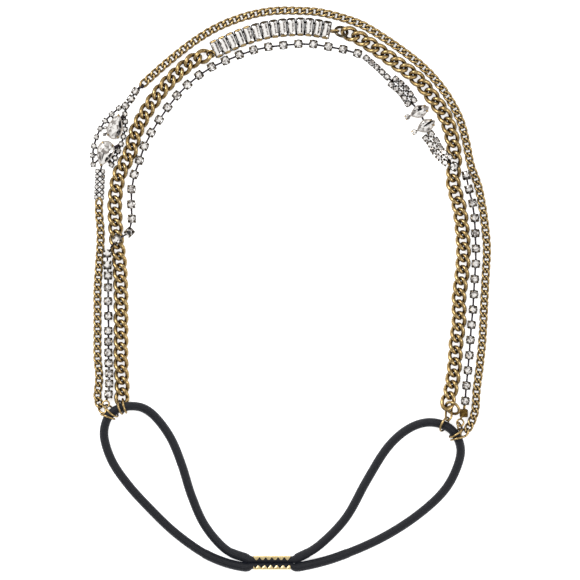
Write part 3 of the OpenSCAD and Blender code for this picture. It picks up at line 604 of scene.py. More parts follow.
camera = bpy.data.objects.new("camera", bpy.data.cameras.new("camera"))
camera.data.sensor_width = SENSOR
camera.data.lens = SENSOR * (CAMERA_HEIGHT - STONE_LEVEL) / (PICTURE * PICTURE_SCALE * MM)
camera.location = (0, -PICTURE_DROP * PICTURE_SCALE * MM, CAMERA_HEIGHT)
camera.data.clip_start, camera.data.clip_end = 0.01, 20
bpy.context.scene.collection.objects.link(camera)
bpy.context.scene.camera = camera


# Elastic

CRIMP_SPOT = (-6.15, -93.2)
CRIMP_LENGTH, CRIMP_WIDTH, CRIMP_HEIGHT, CRIMP_SHEET = 12.6, 4.9, 3.5, 0.25
ELASTIC_RADIUS = 1.5
# Half width and half height of a strand in the crimp, and where it comes out of it
PINCHED, OPENED = (1.05, 1.3), (1.62, 1.5)
PINCH_REACH, BULGE_REACH, CRIMP_REGION = 0.25, 2.3, -90
# How far each end reaches on, so that the two meet inside the crimp
END_STRETCH = 0.13
END_COLUMN = 0.9999


def elastic_section(x, y):
    """Half width and half height of the elastic: round, but pinched where the crimp holds it."""
    if y > CRIMP_REGION:
        return ELASTIC_RADIUS, ELASTIC_RADIUS
    past_crimp = abs(x - CRIMP_SPOT[0]) - CRIMP_LENGTH / 2
    share = min(max((past_crimp - PINCH_REACH) / (BULGE_REACH - PINCH_REACH), 0), 1)
    return [pinched + (opened - pinched) * share for pinched, opened in zip(PINCHED, OPENED)]


# The elastic's route, in metres, as in the solid model
ELASTIC_ROUTE = [
    (-0.0062, -0.09425, 0.00175), (-0.0127, -0.09425, 0.00175), (-0.015, -0.09475, 0.00155),
    (-0.022, -0.0932, 0.0015), (-0.030, -0.0896, 0.0015), (-0.0395, -0.0827, 0.0015),
    (-0.048, -0.0745, 0.0015), (-0.055, -0.0668, 0.0015), (-0.0605, -0.0588, 0.0015),
    (-0.0632, -0.0505, 0.0018), (-0.0622, -0.0445, 0.0026), (-0.0592, -0.0413, 0.0035),
    (-0.055, -0.040, 0.0038), (-0.050, -0.0406, 0.0024), (-0.0455, -0.044, 0.0015),
    (-0.0405, -0.051, 0.0015), (-0.0368, -0.060, 0.0015), (-0.0335, -0.0705, 0.0015),
    (-0.029, -0.0805, 0.0015), (-0.022, -0.0886, 0.0015), (-0.015, -0.0916, 0.00155),
    (-0.0127, -0.09215, 0.00175), (0.0004, -0.09215, 0.00175), (0.0026, -0.0916, 0.00155),
    (0.010, -0.0873, 0.0015), (0.019, -0.078, 0.0015), (0.026, -0.0655, 0.0015),
    (0.033, -0.0543, 0.0015), (0.040, -0.0479, 0.0016), (0.047, -0.0455, 0.0022),
    (0.0535, -0.047, 0.0026), (0.0573, -0.0515, 0.0023), (0.0577, -0.058, 0.0015),
    (0.053, -0.068, 0.0015), (0.0435, -0.077, 0.0015), (0.0305, -0.0852, 0.0015),
    (0.015, -0.0917, 0.0015), (0.0026, -0.09475, 0.00155), (0.0004, -0.09425, 0.00175),
    (-0.0059, -0.09425, 0.00175),
]


def elastic_piece(sides=16, pitch=0.9):
    """The elastic as a grid rolled round its line, with UVs that run along and round it."""
    line = Line([Vector(p) / MM for p in ELASTIC_ROUTE], 8)
    steps = round(line.length / pitch)
    bm = bmesh.new()
    bmesh.ops.create_grid(bm, x_segments=steps, y_segments=sides, size=1)
    uv = bm.loops.layers.uv.new("UVMap")
    for face in bm.faces:
        face.smooth = True
        for loop in face.loops:
            loop[uv].uv = ((loop.vert.co.x + 1) / 2 * line.length, (loop.vert.co.y + 1) / 2)
    for vert in bm.verts:
        s, angle = (vert.co.x + 1) / 2 * line.length, -math.pi * vert.co.y
        at, along = line.place(s, 1.0)
        at.x += END_STRETCH * ((vert.co.x < -END_COLUMN) - (vert.co.x > END_COLUMN))
        at.z = max(at.z, ELASTIC_RADIUS)
        wide, high = elastic_section(at.x, at.y)
        vert.co = standing(at, along) @ Vector((0, wide * math.cos(angle), high * math.sin(angle)))
    bmesh.ops.remove_doubles(bm, verts=bm.verts, dist=MERGE)
    bmesh.ops.holes_fill(bm, edges=[e for e in bm.edges if e.is_boundary], sides=0)
    bmesh.ops.recalc_face_normals(bm, faces=bm.faces)
    bmesh.ops.scale(bm, vec=(MM, MM, MM), verts=bm.verts)
    mesh = bpy.data.meshes.new("elastic_cord")
    bm.to_mesh(mesh)
    bm.free()
    mesh.materials.append(elastic_cover.material)
    piece = finished("elastic_cord", mesh, ["elastic"], "black_elastic")
    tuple(ELASTIC_ROUTE[0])
    [p * MM for p in line.points]
    return piece


elastic_piece()


# Chains

HEAVY_LEFT = [
    (-29.5, 79, 1.45), (-33, 77.5, 1.45), (-39, 72.5, 1.45), (-44.5, 66.5, 1.45), (-49, 60, 1.45),
    (-52.5, 53, 1.45), (-54.5, 46, 1.45), (-58, 39, 1.45), (-59.5, 31, 1.45), (-59.5, 24, 1.45),
    (-59, 16.5, 1.45), (-58, 9, 1.45), (-57.5, -2.5, 1.45), (-57.5, -10, 1.45), (-57.5, -18, 1.45),
    (-57.5, -25, 1.45), (-57.1, -33, 1.45), (-57.2, -37, 1.5),
]
HEAVY_RIGHT = [
    (20.5, 86.6, 1.45), (24, 85, 1.45), (27.5, 82.8, 1.45), (31, 80.4, 1.45), (36.5, 76.5, 1.45),
    (43, 71.6, 1.45), (48.3, 65.2, 1.45), (52.7, 58.6, 1.45), (55, 51.5, 1.45), (56, 44, 1.45),
    (55.5, 36, 1.45), (57.5, 28, 1.45), (58.5, 20.5, 1.45), (59, 12.5, 1.45), (58.5, 5, 1.45),
    (57.5, -3, 1.45), (57.5, -11, 1.45), (56.5, -18.5, 1.45), (56, -26, 1.45), (54.9, -33.5, 1.7),
    (53.7, -38.2, 2.7),
]
FINE_LEFT = [
    (-65, 29, 1), (-65, 25.5, 1), (-64.5, 20.5, 1), (-64.5, 15, 1), (-65, 7.5, 1), (-65.5, -0.5, 1),
    (-65.5, -8.5, 1), (-65.5, -16, 1), (-65.5, -23.5, 1), (-65, -28.5, 1), (-65, -32, 1),
    (-65.5, -36.5, 1), (-64.8, -39.5, 1.3), (-63.9, -40.9, 1.9),
]
FINE_CROWN = [
    (-49.5, 70, 1), (-44, 75, 1), (-38, 80, 1), (-32, 84.5, 1), (-25.5, 88.5, 1), (-18.5, 91.5, 1),
    (-11.5, 93.5, 1), (-4.5, 94.5, 1), (3, 94.5, 1), (10, 94, 1), (17.6, 92.2, 1), (24.6, 89.7, 1),
    (31.5, 85.6, 1), (37.5, 81.5, 1), (44, 76.5, 1), (49.5, 71, 1), (54.5, 64, 1), (58, 57, 1),
    (60, 49.5, 1), (61.5, 42, 1), (64, 35, 1), (65.5, 27.5, 1), (66.5, 20, 1), (67, 13, 1),
    (66.5, 3, 1), (66, -7, 1), (65.5, -17, 1), (64.5, -27, 1), (63.5, -34.5, 1), (63, -41.5, 1),
    (61.5, -46, 1), (60, -48.3, 1.4), (59.3, -49, 1.9),
]
LINK_TWIST = -55
FINE_PITCH = 2.5
HEAVY_LINK = {"width": 5.3, "wire": 1.42, "slack": 0.45, "steps": 32, "sides": 10}
FINE_LINK = {"width": 3.1, "wire": 0.9, "slack": 0.35, "steps": 20, "sides": 6}


def curb_chain(name, route, count, nodes, width, wire, slack, steps, sides):
    """Links on a route, each through the next. The last has a flat end for its ring."""
    line = Line(route)
    pitch = line.length / (count - 1)
    half_length, half_width = (pitch + wire + slack) / 2, (width - wire) / 2
    link, last = (form(curb_link(half_length, half_width, LINK_TWIST, wire, steps, sides, flat))
                  for flat in (False, True))
    places = line.places(count, pitch / 2)
    gathered(name, [(last if i == count - 1 else link, standing(*q), brass)
                    for i, q in enumerate(places)], nodes, crease=180)


for side, route, links in (("left", HEAVY_LEFT, 34), ("right", HEAVY_RIGHT, 37)):
    curb_chain("heavy_links_" + side, route, links, ["heavy_chain_" + side], **HEAVY_LINK)
for side, route in (("left", FINE_LEFT), ("crown", FINE_CROWN)):
    links = round(Line(route).length / FINE_PITCH) + 1
    curb_chain("fine_links_" + side, route, links, ["fine_chain_" + side], **FINE_LINK)


# Rows of stones in cups

CROWN_ROW = [
    (-59, 16.5, 3.45), (-54.5, 19.2, 1.6), (-53.8, 23.3, 0.32), (-54, 27.4, 0.07), (-54, 32.3, 0),
    (-53.6, 36.9, 0), (-51.8, 41.8, 0), (-50.2, 46.6, 0), (-48.4, 51, 0), (-43, 59.7, 0),
    (-37, 67.3, 0), (-29.5, 73.7, 0), (-24.8, 76.2, 0), (-20.4, 78.2, 0), (-15.8, 80, 0),
    (-11.4, 81.4, 0), (-6, 82.4, 0), (4.1, 83.3, 0), (9.2, 83, 0), (14.1, 82.1, 0),
    (19, 81.2, 0), (23, 80, 0),
]
LEFT_SPOTS = [
    Vector(p) for p in (
        (-62.1, 12.2, 2.4), (-62.05, 8.2, 1.5), (-61.9, 4.6, 0.3), (-61.9, 0.4, 0.2), (-61.9, -4.3, 0.2),
        (-61.8, -9.3, 0.2), (-61.8, -14.4, 0.2), (-61.8, -18.1, 0.2), (-61.8, -21.8, 0.2),
        (-61.7, -25.4, 0.2), (-61.5, -28.9, 0.2), (-61.5, -32.4, 0.3), (-61.7, -36, 0.5))
]
RIGHT_ROW = [
    (59.8, 38.8, 2.7), (60.6, 34.8, 1.1), (61.8, 30.4, 0.1), (62.7, 25.5, 0.1), (63.1, 17.8, 0.1),
    (63.3, 10.2, 0.1), (62.8, 2.9, 0.1), (62.3, -6.6, 0.1), (61.6, -14.1, 0.1), (60.9, -24, 0.1),
    (60.2, -31.1, 0.1), (59.6, -38.2, 0.1),
]
STONE_RADIUS = 1.3
ROW_GAP = 0.45
# A small stone's cut, each measure but the facets a share of its radius
STONE_FACETS, STONE_TABLE, STONE_CROWN, STONE_DEPTH, STONE_GIRDLE = 8, 0.6, 0.5, 0.66, 0.05
SMALL_BAR = strut(0.6, 0.3)
THIN_BAR = strut(0.6, 0.16)
SLIM_BAR = strut(0.6, 0.1)
WIDE_BAR = strut(0.8, 0.5)
BAR_LIFT = 0.06


def shift(point, x=0.0, y=0.0, z=0.0):
    return Vector(point) + Vector((x, y, z))


def cups_on(places, radius, finish=None, turns=CLAW_TURNS):
    bowl = cup(radius)
    parts = [(bowl, standing(*q), finish or silver) for q in places]
    if turns:
        claws = cup_claws(radius, turns)
        parts += [(claws, standing(*q), finish or claw_metal) for q in places]
    return parts


def flat_bar(start, end, bar=SMALL_BAR, finish=blackened):
    """A flat bar from one spot to another, just off the cups' undersides."""
    return bar, between(start, end, BAR_LIFT), finish


def bars_along(places, bar=SMALL_BAR):
    return [flat_bar(a[0], b[0], bar) for a, b in zip(places, places[1:])]


def stones_on(places, radius):
    shape = cut_stone(round_outline(radius), STONE_FACETS, STONE_TABLE, STONE_CROWN * radius,
                      STONE_DEPTH * radius, STONE_GIRDLE * radius)
    return [(shape, standing(shift(q[0], z=GIRDLE_HEIGHT * radius), q[1]), crystal) for q in places]


def small_stones(name, node, *rows):
    """The small stones of one setting, each row as (places, radius)."""
    gathered(name, [part for row in rows for part in stones_on(*row)], [node], spark=facet_spark)


def both_sides(places, gauge):
    """The places of two rows, one on each side of a line and a gauge apart."""
    return [(standing(*q) @ Vector((0, side * gauge / 2, 0)), q[1])
            for side in (-1, 1) for q in places]


END_LOOP = form(round_wire(1.7, 0.6))
BOX_BAR = strut(0.9, 0.25)
LEFT_LOOP = (-62.6, -39.3, 2.55)
RIGHT_LOOP = (57.85, -45.6, 2.5)
END_BOX = (59.1, -42.4, 0.1)
END_BOX_SIDE, END_BOX_HEIGHT = 2.8, 2.3

CROWN_STONES, RIGHT_STONES = 25, 16

crown_places = Line(CROWN_ROW).places(CROWN_STONES)
last = len(LEFT_SPOTS) - 1
left_places = [(at, (LEFT_SPOTS[min(i + 1, last)] - LEFT_SPOTS[max(i - 1, 0)]).normalized())
               for i, at in enumerate(LEFT_SPOTS)]
right_places = Line(RIGHT_ROW).places(RIGHT_STONES)

crown_end, left_start = crown_places[0][0], left_places[0][0]
to_crown = (crown_end - left_start).normalized()
row_join = left_start + (STONE_RADIUS * CUP_OUTSIDE + ROW_GAP) * to_crown
gathered("crown_row_settings",
         cups_on(crown_places, STONE_RADIUS) + bars_along(crown_places)
         + [flat_bar(crown_end, row_join)], ["crown_row_cups"])
small_stones("crown_row_crystals", "crown_row_stones", (crown_places, STONE_RADIUS))
left_last, right_last = left_places[-1][0], right_places[-1][0]
gathered("left_row_settings",
         cups_on(left_places, STONE_RADIUS) + bars_along(left_places)
         + [flat_bar(shift(left_last, -0.5, -1.1, 0.3), shift(LEFT_LOOP, 0.2, 1.15, -0.25),
                     WIDE_BAR, brass),
            (END_LOOP, ring_place(*LEFT_LOOP, 0, 80, 6), brass)], ["left_row_cups"])
small_stones("left_row_crystals", "left_row_stones", (left_places, STONE_RADIUS))
gathered("right_row_settings",
         cups_on(right_places, STONE_RADIUS) + bars_along(right_places)
         + [(BOX_BAR, between(right_last, shift(END_BOX, z=0.04), 0.08), brass),
            (block(END_BOX_SIDE, END_BOX_SIDE, END_BOX_HEIGHT, 0.3),
             Matrix.Translation(shift(END_BOX, z=END_BOX_HEIGHT / 2)), dark_brass),
            flat_bar(shift(END_BOX, -0.5, -0.7, 1.5), shift(RIGHT_LOOP, 0.1, 1.22, -0.32),
                     WIDE_BAR, brass),
            (END_LOOP, ring_place(*RIGHT_LOOP, 0, 84, 1), brass)], ["right_row_cups"])
small_stones("right_row_crystals", "right_row_stones", (right_places, STONE_RADIUS))


# Baguette bar

BAR_LINE = [(-25, 81.6, 0), (-16.3, 85.5, 0), (-7.8, 88, 0), (1, 89, 0), (7, 88.9, 0), (12.4, 88, 0)]
BAGUETTES, BAGUETTE_LENGTH, BAGUETTE_WIDTH, BAGUETTE_GIRDLE = 14, 5.3, 2.3, 1.2
TRAY_WALL, TRAY_GAP, TRAY_FLOOR, TRAY_HEIGHT, TRAY_EDGE = 0.2, 0.07, 0.36, 1.2, 0.06
# A tab's section as (up, out), its width and edge, and how many at the top are brass
BAR_TAB = [(0.1, 0.05), (0.1, 0.42), (1.3, 0.42), (1.6, 0.28),
           (1.78, 0.02), (1.78, -0.3), (1.62, -0.3), (1.4, 0.02)]
TAB_WIDTH, TAB_EDGE, BRASS_TABS = 1.9, 0.08, 5
# The two bars that join the trays, and the thin line along each table
TRAY_BAR_SIDE = 1.6
TABLE_LINE = (-0.38, -0.13)
LINE_AREA = 1.2


def brick(grow):
    """The outline of a baguette, grown on every side."""
    x, y = BAGUETTE_WIDTH / 2 + grow, BAGUETTE_LENGTH / 2 + grow
    return [(x, -y), (x, y), (-x, y), (-x, -y)]


def bar_tray():
    """An open tray and the two tabs at its ends, lower and upper."""
    inner, outer = brick(TRAY_GAP), brick(TRAY_GAP + TRAY_WALL)
    wall = lofted([level(outer, 0), level(outer, TRAY_HEIGHT), level(inner, TRAY_HEIGHT),
                   level(inner, TRAY_FLOOR)])
    soften(wall, TRAY_EDGE)
    tab = form(prism([(out, up) for up, out in BAR_TAB], TAB_WIDTH, TAB_EDGE))
    tab_place = Matrix.Translation((BAGUETTE_LENGTH / 2 + TRAY_GAP, 0, 0))
    return form(wall), *(joined((tab, turned(90 * end) @ tab_place)) for end in (-1, 1))


bar_places = Line(BAR_LINE).places(BAGUETTES)
tray, lower_tab, upper_tab = bar_tray()
wall_reach = BAGUETTE_WIDTH / 2 + 0.4
bar_loop = form(round_wire(1.9, 0.7))
bar_arm = strut(0.56, 0.36)
tray_bar = strut(0.7, 0.26)
bar_parts = [(tray, standing(*q), silver) for q in bar_places]
bar_parts += [(lower_tab, standing(*q), brass) for q in bar_places]
bar_parts += [(upper_tab, standing(*q), brass if i < BRASS_TABS else claw_metal)
              for i, q in enumerate(bar_places)]
for y in (-TRAY_BAR_SIDE, TRAY_BAR_SIDE):
    ends = [(standing(*q) @ Vector((0, y, 0)), q[1]) for q in bar_places]
    bar_parts += bars_along(ends, tray_bar)
left_wall = standing(*bar_places[0]) @ Vector((-wall_reach - 0.02, -0.9, 0.65))
right_wall = standing(*bar_places[-1]) @ Vector((wall_reach, 0.2, 0.65))
bar_parts += [
    (bar_loop, ring_place(-26.95, 79.8, 1.7, -22, -53, -3), brass),
    (bar_loop, ring_place(15.2, 87.45, 2.4, -3, -13, -25), brass),
    (bar_arm, between(left_wall, (-26.22, 80.16, 2.3)), brass),
    (bar_arm, between(right_wall, (14.3, 87.3, 1.5)), brass),
]
gathered("bar_trays", bar_parts, ["bar_setting"])


def step_spark(rng, face):
    """Painted light on a baguette: a white table with a thin grey line, a long step painted dark as
    shade on its left and a grey one on its right.
    """
    n = face.normal
    if n.z > FLAT and face.calc_area() < LINE_AREA:
        return rng.uniform(0.1, 0.6)
    if n.z > FLAT:
        return rng.choice((1.5, 1.5, 1.4, 1.2, 1))
    if abs(n.x) > 0.35 and abs(n.y) > 0.35:
        # Corner facets: one side painted black as shade, the others painted light
        return -0.8 if n.x * n.y < 0 and n.y > 0 else 0.8
    if abs(n.x) > abs(n.y):
        return rng.choice((0.4, 0.55, 0.7)) if n.x < 0 else rng.choice((0.7, 1.1, 1.4))
    return rng.choice((0.3, 0.7, 0.9))


baguette = step_stone(BAGUETTE_LENGTH, BAGUETTE_WIDTH, TABLE_LINE)
for i, (at, along) in enumerate(bar_places):
    place = standing(shift(at, z=BAGUETTE_GIRDLE), along) @ turned(90)
    gathered(f"baguette_cut_{i + 1:02d}", [(baguette, place, crystal)],
             [f"baguette_{i + 1:02d}"], spark=step_spark)


# Large stones, their seats and the small cups round them

SEAT_GAP, SEAT_WALL, SEAT_FLOOR, SEAT_HEIGHT, SEAT_EDGE = 0.12, 0.26, 0.4, 1.45, 0.08
LARGE_FACETS, LARGE_TABLE, LARGE_CROWN, LARGE_DEPTH, LARGE_GIRDLE = 12, 0.55, 0.78, 0.85, 1.35
TIP_CLAW_WIDTH, TIP_CLAW_EDGE, TIP_CLAW_GAP = 0.5, 0.1, 0.1


def flat_place(x, y, turn, z=0.0):
    return Matrix.Translation((x, y, z)) @ turned(turn)


def tip_claw(reach, inward):
    """A claw that stands at a reach from a large stone's middle and is bent in over it."""
    return form(prism([
        (reach - 0.2, 0.1), (reach + 0.22, 0.1), (reach + 0.22, 1.7), (reach + 0.06, 2.02),
        (reach - 0.15, 2.15), (reach - inward, 2.15), (reach - inward + 0.04, 1.98),
        (reach - 0.2, 1.75)], TIP_CLAW_WIDTH, TIP_CLAW_EDGE))


def large_seat(outline, length, width, place, claws):
    """A large stone's seat, with claws as (turn, share of the length, how far in they bend)."""
    wall, bore = (outline(length + 2 * grow, width + 2 * grow)
                  for grow in (SEAT_GAP + SEAT_WALL, SEAT_GAP))
    at = flat_place(*place)
    parts = [(stone_seat(wall, bore, SEAT_HEIGHT, SEAT_FLOOR), at, silver)]
    for turn, share, inward in claws:
        claw = tip_claw(share * length + SEAT_GAP + TIP_CLAW_GAP, inward)
        parts.append((claw, at @ turned(turn), brass))
    return parts


MARQUISE_LENGTH, MARQUISE_WIDTH = 6.4, 3.6
MARQUISE_CLAWS = [(-24, 0.395, 0.62), (24, 0.395, 0.62)]
UPPER_MARQUISE, LOWER_MARQUISE = (44.1, 60.3, 25), (46.3, 55.4, 28)
UPPER_ROW = [(35.2, 70.3, 0), (37.5, 68.4, 0), (39.3, 66.4, 0), (41.1, 63.5, 0)]
LOWER_ROW = [(47.2, 51.8, 0.2), (48.6, 49.9, 0.6), (49.7, 47.6, 1.4), (51.3, 45.5, 2.4),
             (53.5, 43.6, 3.45)]
SHOULDER = [(26, 78.4, 0), (28.3, 76.4, 0), (30.4, 74.5, 0), (33, 72, 0)]
ROW_STONES, ROW_GAUGE, ROW_RADIUS, SHOULDER_RADIUS = 5, 2.45, 0.95, 0.96
TIP_RADIUS, TIP_REACH, TIP_TURNS = 0.8, 4.55, (135, 225)
OVER_CHAIN = Vector((55.7, 41.4, 3.45))

upper_places, lower_places, shoulder_places = (
    Line(route).places(ROW_STONES) for route in (UPPER_ROW, LOWER_ROW, SHOULDER))
over_places = [(OVER_CHAIN, Vector((1, -0.7, 0)).normalized())]
tip_places = []
for x, y, turn in (UPPER_MARQUISE, LOWER_MARQUISE):
    way = Vector((math.cos(math.radians(turn)), math.sin(math.radians(turn)), 0))
    tip_places.append((Vector((x, y, 0)) - TIP_REACH * way, way))
upper_spot, lower_spot = (Vector((x, y, 0)) for x, y, _ in (UPPER_MARQUISE, LOWER_MARQUISE))


def double_row(places, gauge, radius, bar=SMALL_BAR):
    """Two rows of cups side by side, with bars along and across them."""
    sides = both_sides(places, gauge)
    count = len(places)
    parts = cups_on(sides, radius) + bars_along(sides[:count], bar) + bars_along(sides[count:], bar)
    for a, b in zip(sides[:count], sides[count:]):
        parts += bars_along([a, b], bar)
    return parts


marquise_parts = cups_on(shoulder_places, SHOULDER_RADIUS) + bars_along(shoulder_places)
marquise_parts += bars_along([shoulder_places[-1], upper_places[0]])
for places in (upper_places, lower_places):
    marquise_parts += double_row(places, ROW_GAUGE, ROW_RADIUS)
for place in (UPPER_MARQUISE, LOWER_MARQUISE):
    marquise_parts += large_seat(marquise_outline, MARQUISE_LENGTH, MARQUISE_WIDTH, place,
                                 MARQUISE_CLAWS)
marquise_parts += [flat_bar(a, b) for a, b in (
    (upper_places[-1][0], upper_spot), (upper_spot, lower_spot),
    (lower_spot, lower_places[0][0]), (lower_places[-1][0], OVER_CHAIN))]
marquise_parts += cups_on(over_places, STONE_RADIUS)
marquise_parts += cups_on(tip_places, TIP_RADIUS, brass, TIP_TURNS)
for tip, spot in zip(tip_places, (upper_spot, lower_spot)):
    marquise_parts.append(flat_bar(tip[0], spot, SLIM_BAR))
gathered("marquise_settings", marquise_parts, ["marquise_setting"])
small_stones("marquise_small_crystals", "marquise_small_stones",
             (shoulder_places, SHOULDER_RADIUS), (both_sides(upper_places, ROW_GAUGE), ROW_RADIUS),
             (both_sides(lower_places, ROW_GAUGE), ROW_RADIUS), (over_places, STONE_RADIUS),
             (tip_places, TIP_RADIUS))


def large_stone(name, outline, place, node, cuts, dark):
    """A large stone. Facets with middles near the dark spots, as (x, y, reach), get painted shade."""
    at = flat_place(*place, LARGE_GIRDLE)

    def spark(rng, face):
        value = facet_spark(rng, face)
        spot = (at.inverted() @ face.calc_center_median()).to_2d()
        if any((spot - Vector((x, y))).length < reach for x, y, reach in dark):
            return rng.uniform(-0.8, -0.4)
        return max(value, 0.4)

    shape = cut_stone(outline, LARGE_FACETS, LARGE_TABLE, LARGE_CROWN, LARGE_DEPTH, cuts=cuts)
    gathered(name, [(shape, at, large_crystal)], [node], spark=spark)


marquise = marquise_outline(MARQUISE_LENGTH, MARQUISE_WIDTH)
large_stone("upper_marquise_cut", marquise, UPPER_MARQUISE, "upper_marquise",
            [(-1, 0.1, 1.7, 0.1), (-1.2, 0.3, 0.3, 0.9), (-0.7, -1, -0.5, 1), (0.9, -1, 1.2, 1)],
            [(0.3, 0.45, 0.7), (0.5, 1.15, 0.7)])
large_stone("lower_marquise_cut", marquise, LOWER_MARQUISE, "lower_marquise",
            [(-1.8, -0.12, 1.7, -0.05), (-1.8, 0.1, 1.7, 0.8), (-0.6, -1, -0.9, 0.02),
             (0.9, -1, 0.6, 0.02)],
            [(0, 0.15, 0.5), (1.2, 0.3, 0.6), (2.2, 0.5, 0.5)])

UPPER_PEAR, UPPER_PEAR_SIZE = (-59.36, 55.05, 75), (8.0, 4.6)
LOWER_PEAR, LOWER_PEAR_SIZE = (-63.05, 45.95, -108), (8.2, 5.0)
PEAR_CLAWS = [(0, 0.5, 0.62), (152, 0.46, 0.5), (208, 0.46, 0.5)]
OUTER_HALO = [(-58.3, 61.4, 0), (-62.9, 57.2, 0), (-65.7, 52, 0), (-67.2, 46.5, 0), (-67, 42.2, 0)]
INNER_HALO = [(-56.2, 59.4, 0), (-56, 55.4, 0), (-56.8, 51.2, 0), (-58.6, 46.2, 0), (-60.7, 42.1, 0)]
HALO_STONES, TOP_STONES, TAIL_STONES = 8, 3, 6
HALO_RADIUS, FILLER_RADIUS, TOP_RADIUS, TAIL_RADIUS, TAIL_GAUGE = 0.8, 0.5, 1.15, 0.68, 1.9
LEAF_JOINT = Vector((-50.6, 68.9, 0))
JOINT_SIDE, JOINT_HEIGHT = 1.6, 1.5
INNER_BAR = strut(1.3, 0.3)
JOINT_BAR = strut(0.9, 0.3)

outer_places, inner_places = Line(OUTER_HALO).places(HALO_STONES), Line(INNER_HALO).places(HALO_STONES)
top_places = Line([(-52.6, 67.1, 0), (-54.2, 64.4, 0), (-56, 62.1, 0)]).places(TOP_STONES)
tail_places = Line([(-64.6, 39.9, 0), (-64.8, 35.5, 0), (-65, 31, 0)]).places(TAIL_STONES)
filler_places = [(Vector(p), Vector((0, 1, 0))) for p in ((-62.9, 54.8, 0.15), (-63.2, 52.4, 0.15))]

upper_pear_spot, lower_pear_spot = (Vector((x, y, 0)) for x, y, _ in (UPPER_PEAR, LOWER_PEAR))
leaf_parts = large_seat(pear_outline, *UPPER_PEAR_SIZE, UPPER_PEAR, PEAR_CLAWS)
leaf_parts += large_seat(pear_outline, *LOWER_PEAR_SIZE, LOWER_PEAR, PEAR_CLAWS)
for places, radius in ((outer_places, HALO_RADIUS), (inner_places, HALO_RADIUS),
                       (top_places, TOP_RADIUS)):
    leaf_parts += cups_on(places, radius) + bars_along(places, THIN_BAR)
for places, spot, bar in (
        (outer_places[1:4], upper_pear_spot, THIN_BAR), (outer_places[5:], lower_pear_spot, THIN_BAR),
        (inner_places[:4], upper_pear_spot, INNER_BAR), (inner_places[4:], lower_pear_spot, INNER_BAR)):
    leaf_parts += [flat_bar(q[0], spot, bar) for q in places]
leaf_parts += cups_on(filler_places, FILLER_RADIUS, silver, ())
leaf_parts += [(SLIM_BAR, between(q[0], upper_pear_spot), blackened) for q in filler_places]
leaf_parts += [flat_bar(top_places[-1][0], halo[0][0], THIN_BAR)
               for halo in (outer_places, inner_places)]
leaf_parts.append(flat_bar(LEAF_JOINT, top_places[0][0], JOINT_BAR))
leaf_parts.append((block(JOINT_SIDE, JOINT_SIDE, JOINT_HEIGHT, 0.2),
                   Matrix.Translation(shift(LEAF_JOINT, z=JOINT_HEIGHT / 2)), blackened))
leaf_parts += double_row(tail_places, TAIL_GAUGE, TAIL_RADIUS, THIN_BAR)
leaf_parts.append(flat_bar(lower_pear_spot, tail_places[0][0], THIN_BAR))
gathered("leaf_settings", leaf_parts, ["leaf_setting"])
small_stones("leaf_small_crystals", "leaf_small_stones",
             (outer_places, HALO_RADIUS), (inner_places, HALO_RADIUS), (filler_places, FILLER_RADIUS),
             (top_places, TOP_RADIUS), (both_sides(tail_places, TAIL_GAUGE), TAIL_RADIUS))
large_stone("upper_pear_cut", pear_outline(*UPPER_PEAR_SIZE), UPPER_PEAR, "leaf_upper_pear",
            [(-1.5, -1, 2, 0.3), (-2, 0.6, 1.4, 0.2), (0.4, -1.2, 0.2, 1.2),
             (-1.2, -1.2, -0.8, 1.2)],
            [(1.2, -1.5, 0.95), (-1.4, -1.9, 0.9), (0.3, 0.75, 0.3)])
large_stone("lower_pear_cut", pear_outline(*LOWER_PEAR_SIZE), LOWER_PEAR, "leaf_lower_pear",
            [(-0.6, -0.45, 2.4, -0.3), (-0.6, -0.1, 2.4, 0), (0.1, -1.3, -0.1, 1.3),
             (-1.5, -1.3, -1.2, 1.3)],
            [(1.1, -0.22, 0.4), (1.9, 1.4, 0.6), (0, 2, 0.6)])


# Rings at the ends

RING_WIRE = 0.7
for node, bore, wire, straight, place in (
        ("left_heavy_ring_1", 3.4, RING_WIRE, 1.6, (-56.25, -39.85, 3.15, 100, 8, 118)),
        ("left_heavy_ring_2", 3.4, RING_WIRE, 1.6, (-57.45, -40.35, 3.12, 62, 47, 108)),
        ("left_row_ring", 4.8, RING_WIRE, 0, (-60.6, -41.5, 3.1, -38, 17, -18)),
        ("left_fine_ring", 4.1, RING_WIRE, 0, (-61.9, -43.6, 2.8, -16, -4, 50)),
        ("right_join_ring", 3.9, 1.0, 0, (55.2, -40.6, 3.3, -24, -44, 16)),
        ("right_oval_link", 1.7, 0.8, 2.7, (53.95, -42.45, 2.05, 87, 49, -30)),
        ("right_heavy_ring", 4.4, RING_WIRE, 0, (52.5, -46.1, 2.75, 66, -24, 8)),
        ("right_row_link", 1.5, RING_WIRE, 2.0, (57.7, -47.1, 2.5, 125, -37, 51)),
        ("right_row_ring", 4.2, RING_WIRE, 0, (56.3, -49.1, 2.8, 41, 12, -30)),
        ("right_fine_ring", 4.1, RING_WIRE, 0, (57.05, -50.9, 2.77, 43, 29, -95)),
        ("bar_jump_ring", 3.1, 1.0, 0, (17.45, 87.35, 1.9, 33, 68, -33))):
    ring = form(round_wire(bore, wire, straight))
    finish = gunmetal if node == "bar_jump_ring" else brass
    gathered(node + "_wire", [(ring, ring_place(*place), finish)], [node], crease=180)


# Crimp

CRIMP_CORNER = 0.36
# The teeth's tips and roots from the middle, how far they dip, and how far one side's lie along
TEETH = 6
TOOTH_TIP, TOOTH_BASE, TOOTH_DIP, TOOTH_OFFSET = 0.7, 1.93, 0.3, 0.67


